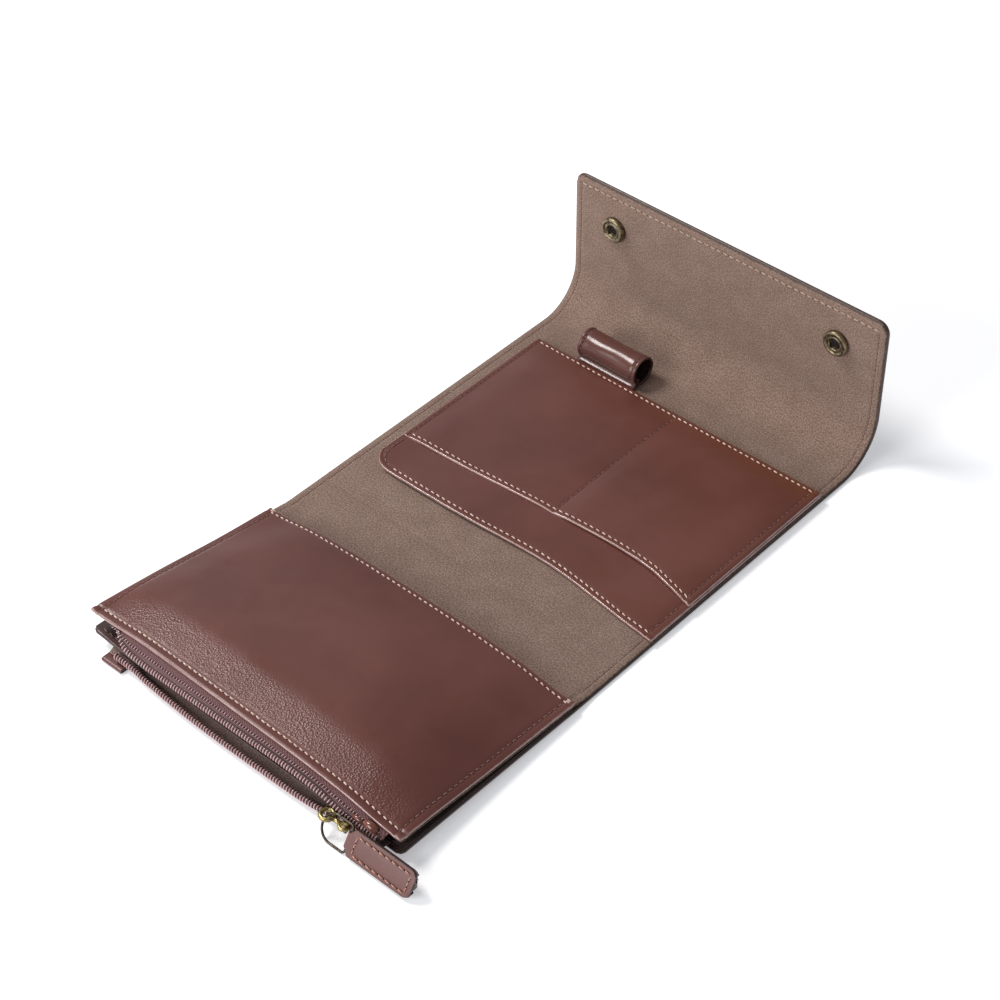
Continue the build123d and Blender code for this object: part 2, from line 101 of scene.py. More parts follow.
class Nodes:
    """Short calls for building one material's node tree."""

    def __init__(self, mat):
        self.tree = mat.node_tree
        self.shader = self.tree.nodes["Principled BSDF"]
        self.coords = self.new("TexCoord").outputs["Object"]

    def put(self, socket, value):
        """Links a socket to another one's value, or sets it."""
        if hasattr(value, "is_linked"):
            self.tree.links.new(value, socket)
        elif socket.type == "RGBA":
            socket.default_value = (*value, 1.0)
        else:
            socket.default_value = value

    def new(self, kind, settings=None, **sockets):
        node = self.tree.nodes.new("ShaderNode" + kind)
        for key, value in (settings or {}).items():
            setattr(node, key, value)
        for key, value in sockets.items():
            self.put(node.inputs[key], value)
        return node

    def uv(self):
        return self.new("UVMap", {"uv_map": "Flat"}).outputs["UV"]

    def turned(self, coords, angle):
        return self.new("Mapping", Rotation=(0, 0, radians(angle)), Vector=coords).outputs["Vector"]

    def noise(self, coords, size, detail=3.0, rough=0.5):
        """Noise whose features are about size millimetres across."""
        node = self.new("TexNoise", Scale=1000.0 / size, Detail=detail, Roughness=rough, Vector=coords)
        return node.outputs["Fac"]

    def cells(self, coords, size, smooth=None):
        node = self.new("TexVoronoi", {"feature": "F1" if smooth is None else "SMOOTH_F1"}, Scale=1000.0 / size)
        if smooth is not None:
            node.inputs["Smoothness"].default_value = smooth
        self.put(node.inputs["Vector"], coords)
        return node.outputs["Distance"]

    def wave(self, coords, size):
        """Bands that repeat every size millimetres along X of the coordinates."""
        return self.new("TexWave", Scale=1000.0 / size / WAVE_RATE, Vector=coords).outputs["Fac"]

    def ramp(self, value, *stops):
        node = self.new("ValToRGB", Fac=value)
        elements = node.color_ramp.elements
        while len(elements) < len(stops):
            elements.new(0.5)
        for element, (place, colour) in zip(elements, stops):
            element.position = place
            element.color = (*(colour if hasattr(colour, "__len__") else [colour] * 3), 1.0)
        return node.outputs["Color"]

    def mix_colour(self, share, a, b, kind="MIX"):
        node = self.new("Mix", {"data_type": "RGBA", "blend_type": kind})
        factor = [s for s in node.inputs if s.type == "VALUE" and s.enabled][0]
        for socket, value in zip([factor] + [s for s in node.inputs if s.type == "RGBA"], (share, a, b)):
            self.put(socket, value)
        return [s for s in node.outputs if s.type == "RGBA"][0]

    def math(self, kind, a, b):
        node = self.new("Math", {"operation": kind})
        self.put(node.inputs[0], a)
        self.put(node.inputs[1], b)
        return node.outputs["Value"]

    def attribute(self, name):
        return self.new("Attribute", {"attribute_name": name}).outputs["Fac"]

    def bump(self, height, strength, depth, below=None):
        """Bump of depth millimetres, on top of an earlier bump."""
        node = self.new("Bump", Strength=strength, Distance=depth * MM, Height=height)
        if below is not None:
            self.put(node.inputs["Normal"], below)
        return node.outputs["Normal"]

    def colour(self, value):
        self.put(self.shader.inputs["Base Color"], value)

    def rough(self, value):
        self.put(self.shader.inputs["Roughness"], value)

    def normal(self, value):
        self.put(self.shader.inputs["Normal"], value)


# ---------------------------------------------------------------- materials
def leather_material(name, dark, mid, light, tint, grain=0.35, roughness=(0.30, 0.42)):
    """Semi-gloss brown leather. The Tint attribute warms it, and Worn roughens it with a coarser grain."""
    mat = new_material(name, specular=0.42, coat=0.08)
    n = Nodes(mat)
    n.shader.inputs["Coat Roughness"].default_value = 0.22
    place = n.coords
    cloud = n.noise(place, 38, 3, 0.55)
    mottle = n.noise(place, 6, 4, 0.6)
    base = n.ramp(cloud, (0.32, dark), (0.5, mid), (0.68, light))
    base = n.mix_colour(n.ramp(mottle, (0.35, 0.0), (0.75, 0.22)), base, light)
    base = n.mix_colour(n.attribute("Tint"), base, tint)
    fine = n.cells(place, 0.62, 0.4)
    pores = n.ramp(fine, (0.0, 0.55), (0.28, 1.0))
    base = n.mix_colour(0.18, base, pores, "MULTIPLY")
    n.colour(base)
    worn = n.attribute("Worn")
    gloss = n.ramp(n.noise(place, 9, 4, 0.6), (0.3, roughness[0]), (0.7, roughness[1]))
    n.rough(n.math("ADD", gloss, n.math("MULTIPLY", worn, 0.03)))
    creases = n.noise(place, 1.6, 5, 0.65)
    soft = n.bump(n.noise(place, 14, 2, 0.5), 0.35, 0.35)
    pebble = n.bump(fine, grain * 0.5, 0.05, soft)
    coarse = n.cells(place, 0.72)
    height = n.math("MULTIPLY", coarse, worn)
    worn_bump = n.bump(height, 1.0, 0.22, pebble)
    n.normal(n.bump(creases, 0.14, 0.06, worn_bump))
    return mat


def suede_material(name, dark, mid, light):
    """Microsuede: a short nap with speckled fibres and softly brushed areas."""
    mat = new_material(name, roughness=0.95, specular=0.18, sheen=0.35)
    n = Nodes(mat)
    n.shader.inputs["Sheen Roughness"].default_value = 0.45
    n.shader.inputs["Sheen Tint"].default_value = (0.78, 0.66, 0.56, 1.0)
    place = n.uv()
    brushed = n.noise(place, 9, 4, 0.6)
    base = n.ramp(brushed, (0.15, dark), (0.52, mid), (0.9, light))
    speck = n.noise(place, 0.6, 3, 0.75)
    fibres = n.ramp(speck, (0.36, (0.38, 0.36, 0.34)), (0.5, 0.98), (0.64, (1.7, 1.66, 1.62)))
    base = n.mix_colour(0.8, base, fibres, "MULTIPLY")
    n.colour(base)
    nap = n.bump(speck, 0.7, 0.14)
    n.normal(n.bump(n.noise(place, 2.6, 3, 0.6), 0.3, 0.12, nap))
    return mat


def thread_material(name, dark, light):
    mat = new_material(name, roughness=0.55, specular=0.35, sheen=0.2)
    n = Nodes(mat)
    ply = n.noise(n.coords, 0.5, 2, 0.5)
    n.colour(n.ramp(ply, (0.3, dark), (0.65, light)))
    n.normal(n.bump(n.noise(n.coords, 0.25, 2, 0.5), 0.5, 0.08))
    return mat


def plain_material(name, dark, light, roughness, size=3.0, metallic=0.0, bump=0.0, coat=0.0):
    mat = new_material(name, roughness=roughness, metallic=metallic, coat=coat)
    n = Nodes(mat)
    cloud = n.noise(n.coords, size, 4, 0.6)
    n.colour(n.ramp(cloud, (0.35, dark), (0.65, light)))
    spots = n.noise(n.coords, size * 0.5, 3, 0.6)
    n.rough(n.ramp(spots, (0.3, roughness * 0.8), (0.7, min(1.0, roughness * 1.25))))
    if bump:
        n.normal(n.bump(n.noise(n.coords, size * 0.3, 3, 0.6), 0.5, bump))
    return mat


def tape_material(name):
    """Woven zip tape: fine ribs and threads crossing it at a slant, with speckles; the ticks along its middle are
    separate pieces.
    """
    mat = new_material(name, roughness=0.85, specular=0.25, sheen=0.25)
    n = Nodes(mat)
    place = n.uv()
    ribs = n.wave(n.turned(place, 28), 0.55)
    threads = n.wave(n.turned(place, -62), 0.48)
    weave = n.math("MULTIPLY", ribs, threads)
    speck = n.noise(place, 0.5, 3, 0.7)
    dark, mid, light = (0.085, 0.034, 0.036), (0.165, 0.072, 0.076), (0.27, 0.145, 0.148)
    base = n.ramp(weave, (0.0, dark), (0.45, mid), (1.0, light))
    base = n.mix_colour(0.4, base, n.ramp(speck, (0.3, 0.5), (0.7, 1.5)), "MULTIPLY")
    n.colour(base)
    n.normal(n.bump(weave, 0.8, 0.25, n.bump(speck, 0.4, 0.1)))
    return mat


def brass_material(name, metal, patina, shine=0.30):
    """Antiqued metal: dark patina and rubbed bright patches, spread by noise."""
    mat = new_material(name, metallic=1.0, roughness=shine)
    n = Nodes(mat)
    rub = n.noise(n.coords, 1.6, 5, 0.7)
    bright = tuple(min(1.0, c * 1.35) for c in metal)
    n.colour(n.ramp(rub, (0.34, patina), (0.52, metal), (0.75, bright)))
    n.rough(n.ramp(n.noise(n.coords, 0.8, 4, 0.6), (0.3, shine * 0.8), (0.7, shine * 1.5)))
    n.normal(n.bump(n.noise(n.coords, 0.5, 3, 0.6), 0.35, 0.04))
    return mat


LEATHER_MAT = leather_material(
    "BrownLeather", (0.100, 0.031, 0.024), (0.118, 0.038, 0.030), (0.138, 0.047, 0.039), (0.150, 0.043, 0.014)
)
OUTER_MAT = leather_material(
    "OuterLeather", (0.090, 0.031, 0.027), (0.106, 0.038, 0.033), (0.124, 0.047, 0.041), (0.13, 0.04, 0.015), 0.5
)
STRAP_MAT = leather_material(
    "PullLeather", (0.104, 0.038, 0.034), (0.124, 0.049, 0.045), (0.148, 0.064, 0.060), (0.17, 0.06, 0.04), 0.6,
    (0.40, 0.52),
)
PEN_MAT = leather_material(
    "LoopLeather", (0.085, 0.034, 0.030), (0.105, 0.042, 0.036), (0.130, 0.056, 0.048), (0.13, 0.04, 0.02), 0.3,
    (0.16, 0.26),
)
EDGE_MAT = plain_material("EdgePaint", (0.030, 0.013, 0.012), (0.055, 0.024, 0.021), 0.38, 4.0, bump=0.05, coat=0.1)
SUEDE_MAT = suede_material("TaupeSuede", (0.182, 0.121, 0.096), (0.217, 0.148, 0.120), (0.258, 0.183, 0.152))
SUEDE_EDGE = suede_material("SuedeEdge", (0.085, 0.055, 0.042), (0.115, 0.078, 0.06), (0.145, 0.1, 0.078))
LINING_MAT = plain_material("CoinLining", (0.034, 0.021, 0.018), (0.062, 0.040, 0.035), 0.9, 1.0, bump=0.1)
LIGHT_THREAD = thread_material("LightThread", (0.44, 0.26, 0.21), (0.90, 0.70, 0.61))
FLAP_THREAD = thread_material("FlapThread", (0.30, 0.21, 0.15), (0.58, 0.45, 0.35))
DARK_THREAD = thread_material("DarkThread", (0.085, 0.028, 0.022), (0.27, 0.13, 0.11))
TAB_THREAD = thread_material("TabThread", (0.26, 0.08, 0.04), (0.62, 0.34, 0.24))
# Near-black: painted shade in the needle holes, the snap wells and the snap notches; also the dark ticks woven into
# the zip tape.
HOLE_SHADE_AND_TICK_MAT = plain_material("HoleShadeAndTick", (0.006, 0.003, 0.003), (0.012, 0.005, 0.005), 0.9, 1.0)
TAPE_MAT = tape_material("ZipTape")
TICK_MAT = thread_material("TapeTicks", (0.30, 0.16, 0.16), (0.62, 0.42, 0.42))
TAPE_BACK = suede_material("TapeBack", (0.13, 0.085, 0.076), (0.17, 0.115, 0.104), (0.21, 0.15, 0.137))
# Light pink, far lighter than the coil's dark brown: painted glints on the teeth.
COIL_GLINT_MAT = plain_material("ZipCoilGlint", (0.36, 0.18, 0.185), (0.52, 0.31, 0.32), 0.24, 1.5, coat=0.5)
# Near-black cord and thread: painted shade between the coil's teeth and along the upper coil's top edge.
CORD_SHADE_MAT = plain_material("ZipCordShade", (0.012, 0.004, 0.004), (0.024, 0.009, 0.009), 0.6, 1.5)
# Lighter than the dark edge paint: the edges' glossy paint, with a painted highlight along the pocket and card
# rims.
RIM_HIGHLIGHT_MAT = plain_material("LeatherRimHighlight", (0.25, 0.13, 0.12), (0.36, 0.22, 0.205), 0.22, 4.0, bump=0.02, coat=0.7)
BRASS_MAT = brass_material("AntiqueBrass", (0.36, 0.29, 0.13), (0.10, 0.078, 0.036))
SNAP_MAT = brass_material("SnapBrass", (0.24, 0.195, 0.125), (0.035, 0.027, 0.018), 0.36)
BRONZE_MAT = brass_material("BronzeWire", (0.075, 0.062, 0.048), (0.024, 0.019, 0.015), 0.3)
SLIDER_MAT = plain_material("SliderEnamel", (0.12, 0.035, 0.022), (0.19, 0.062, 0.038), 0.22, 2.0, coat=0.5)


# ---------------------------------------------------------------- mesh helpers
def smooth(t):
    t = min(1.0, max(0.0, t))
    return t * t * (3 - 2 * t)


def curve(points, value):
    """A smooth line through (place, height) points, read at value."""
    places = [p for p, _ in points]
    heights = [h for _, h in points]
    if value <= places[0]:
        return heights[0]
    if value >= places[-1]:
        return heights[-1]
    k = max(i for i in range(len(places)) if places[i] <= value)

    def slope(i):
        low, high = max(i - 1, 0), min(i + 1, len(points) - 1)
        return (heights[high] - heights[low]) / (places[high] - places[low])

    span = places[k + 1] - places[k]
    t = (value - places[k]) / span
    h00, h10 = 2 * t**3 - 3 * t**2 + 1, t**3 - 2 * t**2 + t
    h01, h11 = -2 * t**3 + 3 * t**2, t**3 - t**2
    return h00 * heights[k] + h10 * span * slope(k) + h01 * heights[k + 1] + h11 * span * slope(k + 1)


def spread(a, b, step, near=(), fine=()):
    """Places from a up to b about step apart, with closer ones beside each of near, and all of fine."""
    places = list(np.linspace(a, b, max(2, int(round((b - a) / step)) + 1))) + list(fine)
    for seam in near:
        places += [seam + d for d in (-3.2, -1.9, -1.0, -0.45, 0.0, 0.45, 1.0, 1.9, 3.2)]
    kept = [a]
    for p in sorted(p for p in places if a <= p <= b):
        if p - kept[-1] > 0.12:
            kept.append(p)
    kept[-1] = b
    return kept


def make(name, verts, faces, materials, face_mats=None, uvs=None, attributes=None, flat=False):
    """An object from points in millimetres, with its UV map and point attributes."""
    mesh = bpy.data.meshes.new(name)
    mesh.from_pydata([tuple(float(c) * MM for c in v) for v in verts], [], faces)
    for mat in materials:
        mesh.materials.append(mat)
    if face_mats is not None:
        mesh.polygons.foreach_set("material_index", np.array(face_mats, np.int32))
    mesh.polygons.foreach_set("use_smooth", np.full(len(mesh.polygons), not flat, bool))
    if uvs is not None:
        layer = mesh.uv_layers.new(name="Flat")
        loops = np.zeros(len(mesh.loops), np.int32)
        mesh.loops.foreach_get("vertex_index", loops)
        layer.data.foreach_set("uv", (np.array(uvs, np.float32)[loops] * MM).ravel())
    for key, values in (attributes or {}).items():
        attribute = mesh.attributes.new(key, "FLOAT", "POINT")
        attribute.data.foreach_set("value", np.array(values, np.float32))
    mesh.update()
    obj = bpy.data.objects.new(name, mesh)
    bpy.context.scene.collection.objects.link(obj)
    return obj


def normals_of(grid):
    """Unit normals of a grid of points whose columns run along +X and rows along the leaf."""
    across = np.gradient(grid, axis=1)
    along = np.gradient(grid, axis=0)
    n = np.cross(across, along)
    return n / np.maximum(np.linalg.norm(n, axis=2, keepdims=True), 1e-9)


def shell(name, grid, thick, materials, uv=None, attributes=None, bulge=None, rim=5):
    """A closed sheet with a rounded rim, in the materials of its top, its underside and its rim.

    Grid (rows, columns, 3) is its upper surface, and thick how far it goes below. Without uv, X and Y are used.
    """
    grid = np.array(grid, float)
    rows, columns, _ = grid.shape
    normal = normals_of(grid)
    thick = np.broadcast_to(np.asarray(thick, float), (rows, columns))
    low = grid - normal * thick[..., None]
    verts = [*grid.reshape(-1, 3), *low.reshape(-1, 3)]
    size = rows * columns
    faces, mats = [], []
    for i in range(rows - 1):
        for j in range(columns - 1):
            a, b = i * columns + j, i * columns + j + 1
            c, d = a + columns + 1, a + columns
            faces += [(a, b, c, d), (size + d, size + c, size + b, size + a)]
            mats += [0, 1]
    loop = [(0, j) for j in range(columns)]
    loop += [(i, columns - 1) for i in range(1, rows)]
    loop += [(rows - 1, j) for j in range(columns - 2, -1, -1)]
    loop += [(i, 0) for i in range(rows - 2, 0, -1)]
    count = len(loop)
    ring = np.array([grid[p] for p in loop])
    forward = np.roll(ring, -1, axis=0) - np.roll(ring, 1, axis=0)
    up = np.array([normal[p] for p in loop])
    out = np.cross(forward, up)
    out /= np.maximum(np.linalg.norm(out, axis=1, keepdims=True), 1e-9)
    depth = np.array([thick[p] for p in loop])
    bulge = depth * 0.5 if bulge is None else np.full(count, bulge)
    layers = [[i * columns + j for i, j in loop]]
    for k in range(1, rim):
        phi = pi * k / rim
        base = len(verts)
        for p, cell in enumerate(loop):
            middle = (grid[cell] + low[cell]) / 2
            verts.append(middle + up[p] * depth[p] / 2 * cos(phi) + out[p] * bulge[p] * sin(phi))
        layers.append(list(range(base, base + count)))
    layers.append([size + i * columns + j for i, j in loop])
    for upper, lower in zip(layers, layers[1:]):
        for p in range(count):
            q = (p + 1) % count
            faces.append((upper[p], lower[p], lower[q], upper[q]))
            mats.append(2)

    def full(values):
        values = np.array(values, float).reshape(rows, columns, -1)
        flat = values.reshape(size, -1)
        edge = np.array([values[p] for p in loop])
        return np.concatenate([flat, flat] + [edge] * (rim - 1))

    attributes = {k: full(v)[:, 0] for k, v in (attributes or {}).items()}
    return make(name, verts, faces, materials, mats, full(grid[..., :2] if uv is None else uv), attributes)


def heights(rows, columns, height):
    return [[(x, y, height(x, y)) for x in columns] for y in rows]


def even(grid, tint, worn=0.0):
    """The leather's attributes, the same all over a grid."""
    return {"Tint": np.full(np.shape(grid)[:2], tint), "Worn": np.full(np.shape(grid)[:2], worn)}


def tube_faces(base, rings, sides, capped=True):
    """Faces of a tube whose rings of vertices start at base."""
    faces = []
    for first in range(base, base + (rings - 1) * sides, sides):
        for m in range(sides):
            a, b = first + m, first + (m + 1) % sides
            faces.append((a, b, b + sides, a + sides))
    if capped:
        last = base + (rings - 1) * sides
        faces += [tuple(range(base, base + sides))[::-1], tuple(range(last, last + sides))]
    return faces


def ring_faces(base, rings, sides):
    """Faces of a tube that closes on itself."""
    faces = []
    for k in range(rings):
        for m in range(sides):
            here, there = base + k * sides, base + (k + 1) % rings * sides
            faces.append((here + m, there + m, there + (m + 1) % sides, here + (m + 1) % sides))
    return faces


def say(obj, body, slot=None, *nodes):
    """States the body that a piece rides on and the CAD nodes that it stands for, which it hides. The slot argument
    is not used.
    """
    if nodes:
        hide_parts(*nodes)
    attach(obj, body)
    return obj


def leaf(s, x, depth=0.0):
    """Point on the leaf's suede side at distance s along it, or depth below that; s is y as far as the bend."""
    if s <= S_BEND:
        return (x, s, HINGE_Z - depth)
    if s <= S_FLAP:
        turn = (s - S_BEND) / BEND_RADIUS
        r = BEND_RADIUS + depth
        return (x, Y_FLAP + r * sin(turn), Z_BEND_TOP - r * cos(turn))
    return (x, Y_FLAP + BEND_RADIUS + depth, Z_BEND_TOP + s - S_FLAP)


def corner_width(s, end, half, radius):
    """Half width of a sheet at s, with its corners at end rounded."""
    d = abs(end - s)
    if d >= radius:
        return half
    return half - radius + sqrt(max(0.0, radius**2 - (radius - d) ** 2))


# ---------------------------------------------------------------- the long leaf, in four runs
# name, start, end, the two bodies that it joins and the fold between them; the front's start is for its stitches
RUNS = (
    ("front", Y_MOUTH + 1.5, Y_SPINE_MID, ("front_panel", "spine"), Y_SPINE_FRONT),
    ("spine", Y_SPINE_MID, 0.0, ("spine", "back_panel"), Y_SPINE_BACK),
    ("back", 0.0, S_BEND + ARC / 2, ("back_panel", "flap_bend"), S_BEND),
    ("flap", S_BEND + ARC / 2, S_TIP, ("flap_bend", "flap"), S_FLAP),
)
STANDS_FOR = {
    "cover_spine": ("outer_cover_spine", "outer_cover_back", "stiffener_back"),
    "suede_spine": ("lining_spine", "lining_back"),
    "cover_back": ("outer_cover_bend",),
    "suede_back": ("lining_bend",),
    "cover_flap": ("outer_cover_flap", "stiffener_flap"),
    "suede_flap": ("lining_flap",),
}
FLAP_CORNER = 4.0
FLAP_SEAM = 3.4  # stitch line, in from the flap's tip
EDGE_INSETS = (0.4, 0.9, 1.6, 2.3, 2.9, 3.4, 4.0, 5.5)
LEAF_COLUMNS = spread(-HALF, HALF, 4.5, fine=[side * (X_EDGE - d) for side in (-1, 1) for d in EDGE_INSETS])


def join(obj):
    """Bakes a piece's transform into its mesh, where it stays without a body."""
    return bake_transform(obj)


def fold_rows(fold):
    return list(np.arange(fold - 5.5, fold + 5.6, 0.7))


def side_ease(x, width=2.2, depth=0.35):
    """How far a sewn sheet dips towards its side edges."""
    return depth * (1 - smooth((X_EDGE - abs(x)) / width))


def seam_groove(distance, half=0.7, depth=0.16):
    """Dip along a line of stitches at that distance."""
    return depth * (1 - smooth(abs(distance) / half))


def side_groove(x, half=0.8, depth=0.22):
    return seam_groove(X_EDGE - abs(x) - SIDE_SEAM, half, depth)


def leaf_rows(name, start, end, fold):
    """Rows of a run, closer where it folds or turns and at the flap's rounded tip."""
    near = fold_rows(fold) + [start, end]
    if name in ("back", "flap"):
        near += list(np.arange(S_BEND, S_FLAP + 0.1, 0.8))
    rows = spread(start, end, 3.0, fine=near)
    if name != "flap":
        return rows
    rows = [s for s in rows if s < S_TIP - 4.4]
    rows += [S_TIP - 0.4 - FLAP_CORNER * (1 - cos(pi / 2 * k / 7)) for k in range(8)]
    rows += [S_TIP - 4.41 - 0.5 * k for k in range(6)]
    return sorted(set(round(r, 4) for r in rows))


def build_leaf():
    layers = (
        ("suede", 0.0, SUEDE, [SUEDE_MAT, SUEDE_EDGE, SUEDE_EDGE], "suede"),
        ("cover", SUEDE, COVER, [OUTER_MAT, OUTER_MAT, EDGE_MAT], "outer_leather"),
    )
    for name, start, end, bodies, fold in RUNS[1:]:
        rows = leaf_rows(name, start, end, fold)
        for label, depth, thick, mats, slot in layers:
            grid = []
            for s in rows:
                half = corner_width(s, S_TIP - 0.4, HALF, FLAP_CORNER) if name == "flap" else HALF
                row = []
                for x in [x * half / HALF for x in LEAF_COLUMNS]:
                    dip = side_ease(x) + side_groove(x) if label == "suede" else 0.0
                    if label == "suede" and name == "flap":
                        dip += seam_groove(S_TIP - s - FLAP_SEAM, 0.8, 0.22) + side_ease(X_EDGE - S_TIP + s)
                    row.append(leaf(s, x, depth + dip))
                grid.append(row)
            flat = [[(p[0], s) for p in row] for s, row in zip(rows, grid)]
            obj = shell(f"{label}_{name}", grid, thick, mats, flat)
            join(obj)
            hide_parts(*STANDS_FOR[obj.name])


# ---------------------------------------------------------------- stitches
class Stitches:
    """Collects stitches and needle holes for one mesh, which rides a body, or, when it crosses a fold, is baked in
    place without one.
    """

    def __init__(self, name, thread, bodies, fold=None):
        self.name, self.thread, self.bodies, self.fold = name, thread, bodies, fold
        self.verts, self.faces, self.mats = [], [], []

    def lump(self, centre, along, up, length, width, height, mat, skew=0.0, rings=6, sides=6):
        """A rounded thread (mat 0) or a near-black hole (mat 1), which is painted shade, lying along a line, with
        its ends going down.
        """
        along = Vector(along).normalized()
        up = Vector(up).normalized()
        side = along.cross(up).normalized()
        along = (along + side * skew).normalized()
        side = along.cross(up).normalized()
        faces = tube_faces(len(self.verts), rings + 1, sides, capped=False)
        self.faces += faces
        self.mats += [mat] * len(faces)
        for k in range(rings + 1):
            t = k / rings * 2 - 1
            r = sqrt(max(0.0, 1 - abs(t) ** 2.6))
            middle = Vector(centre) + along * (length / 2 * t) + up * (height * (1 - abs(t) ** 2.2) - height * 0.45)
            for m in range(sides):
                phi = 2 * pi * m / sides
                self.verts.append(middle + side * cos(phi) * width / 2 * r + up * sin(phi) * width / 2 * r * 0.9)

    def line(self, point, start, end, length, pitch=2.5, width=0.52, height=0.30, hole=0.5):
        """Stitches along point(t) from t start to end; point gives (place, upward direction)."""
        count = max(1, int(round(length / pitch)))
        step = (end - start) / count
        for k in range(count):
            t = start + step * (k + 0.5)
            place, up = point(t)
            along = Vector(point(t + step * 0.3)[0]) - Vector(point(t - step * 0.3)[0])
            jitter = random.uniform(-0.05, 0.05)
            size = along.length / 0.6 * (0.80 + jitter)
            self.lump(place, along, up, size, width, height, 0, 0.16 + jitter * 0.6)
            if k < count - 1:
                # a near-black needle hole after each stitch: painted shade
                edge, up = point(t + step * 0.5)
                centre = Vector(edge) - Vector(up).normalized() * 0.12
                self.lump(centre, along, up, hole * 1.5, hole, 0.16, 1, rings=4)

    def build(self, slot=None):
        obj = make(self.name, self.verts, self.faces, [self.thread, HOLE_SHADE_AND_TICK_MAT], self.mats)
        if self.fold is None:
            return say(obj, self.bodies, slot)
        join(obj)
        return obj


def surface_line(place, slope=0.5):
    """Turns place(t), which gives x, y and a height field, into (point, up)."""

    def at(t):
        x, y, height = place(t)
        gx = (height(x + slope, y) - height(x - slope, y)) / (2 * slope)
        gy = (height(x, y + slope) - height(x, y - slope)) / (2 * slope)
        return (x, y, height(x, y)), (-gx, -gy, 1)

    return at


def leaf_line(x):
    """A line along the leaf's suede at that x."""

    def at(s):
        a, b = leaf(s, x, 0.2), leaf(s, x, -1)
        return a, Vector(b) - Vector(a)

    return at


# ---------------------------------------------------------------- front panel: the zipped, padded pocket
def to_zip_edge(y):
    """0 at the pocket's mouth and 1 at the zip edge."""
    return max(0.0, (Y_MOUTH - y) / (Y_MOUTH - Y_ZIP))


def front_floor(x, y):
    """Underside of the front panel's outer cover: it climbs to the zip, and its left corner lifts."""
    a = to_zip_edge(y)
    return 2.1 * a + 2.9 * smooth((a - 0.55) / 0.45) * smooth((-x - 38) / 33.5)


LEFT_SEAM = ((0, 4.6), (0.3, 7.6), (0.65, 12.2), (1.0, 16.0))
RIGHT_SEAM = ((0, 4.6), (0.3, 5.6), (0.65, 7.4), (1.0, 9.9))
ZIP_EDGE = ((-71.5, 16.0), (-58, 16.8), (-40, 17.2), (0, 16.1), (30, 15.0), (50, 13.3), (62, 11.6), (71.5, 9.9))
MOUTH_EDGE = ((-71.5, 4.6), (-55, 6.7), (-30, 8.4), (0, 8.9), (30, 8.5), (55, 6.8), (71.5, 4.6))


def front_top(x, y):
    """Upper surface of the leather pocket. The padding under it swells in front of the zip edge."""
    a = min(1.0, to_zip_edge(y))
    t = (x + X_EDGE) / (2 * X_EDGE)
    seams = curve(LEFT_SEAM, a) * (1 - t) + curve(RIGHT_SEAM, a) * t
    edge = min(1.0, (X_EDGE - abs(x)) / 24)
    ends = curve(MOUTH_EDGE, x) * (1 - a) + curve(ZIP_EDGE, x) * a
    body = seams + (ends - seams) * smooth(edge) ** 0.8
    crown = 1 - (1 - edge) ** 2.4
    swell = 3.3 * crown * (sin(pi * min(1.0, a / 0.97)) ** 0.85 if a < 0.97 else 0.0)
    swell += 2.0 * crown * smooth((a - 0.45) / 0.35) * smooth((1.0 - a) / 0.24)
    z = max(body, seams - 0.2) + swell
    z -= seam_groove(y - Y_ZIP - 3.1, 1.2, 0.35) + 0.25 * (1 - smooth((y - Y_ZIP) / 1.2))
    z -= seam_groove(y - Y_MOUTH + 1.9, 0.9, 0.18) + side_groove(x, 1.0, 0.25)
    return z


def divider_height(x, y):
    """Top of the suede leaf under the passport pocket. It is sewn to the leather at the sides and the zip edge."""
    if y > Y_MOUTH:
        settle = smooth((y - Y_MOUTH) / 9.0)
        z = divider_height(x, Y_MOUTH) * (1 - settle) + HINGE_Z * settle
        return z - side_ease(x) - side_groove(x)
    top = front_top(x, y) - LEATHER - 0.05
    middle = HINGE_Z + (9.4 - HINGE_Z) * min(1.0, to_zip_edge(y))
    hold = smooth((X_EDGE - 3.4 - abs(x)) / 9.0) * smooth((y - Y_ZIP - 1.0) / 7.0)
    return top + (min(middle, top - 0.6) - top) * hold


def grain_band(x, y):
    """Share of the coarse grain, which shows along the zip edge."""
    to_zip = y - Y_ZIP
    return smooth((21 - to_zip) / 12) * smooth(to_zip - 3.6) * smooth((X_EDGE - abs(x) - 2) / 6) * 0.8


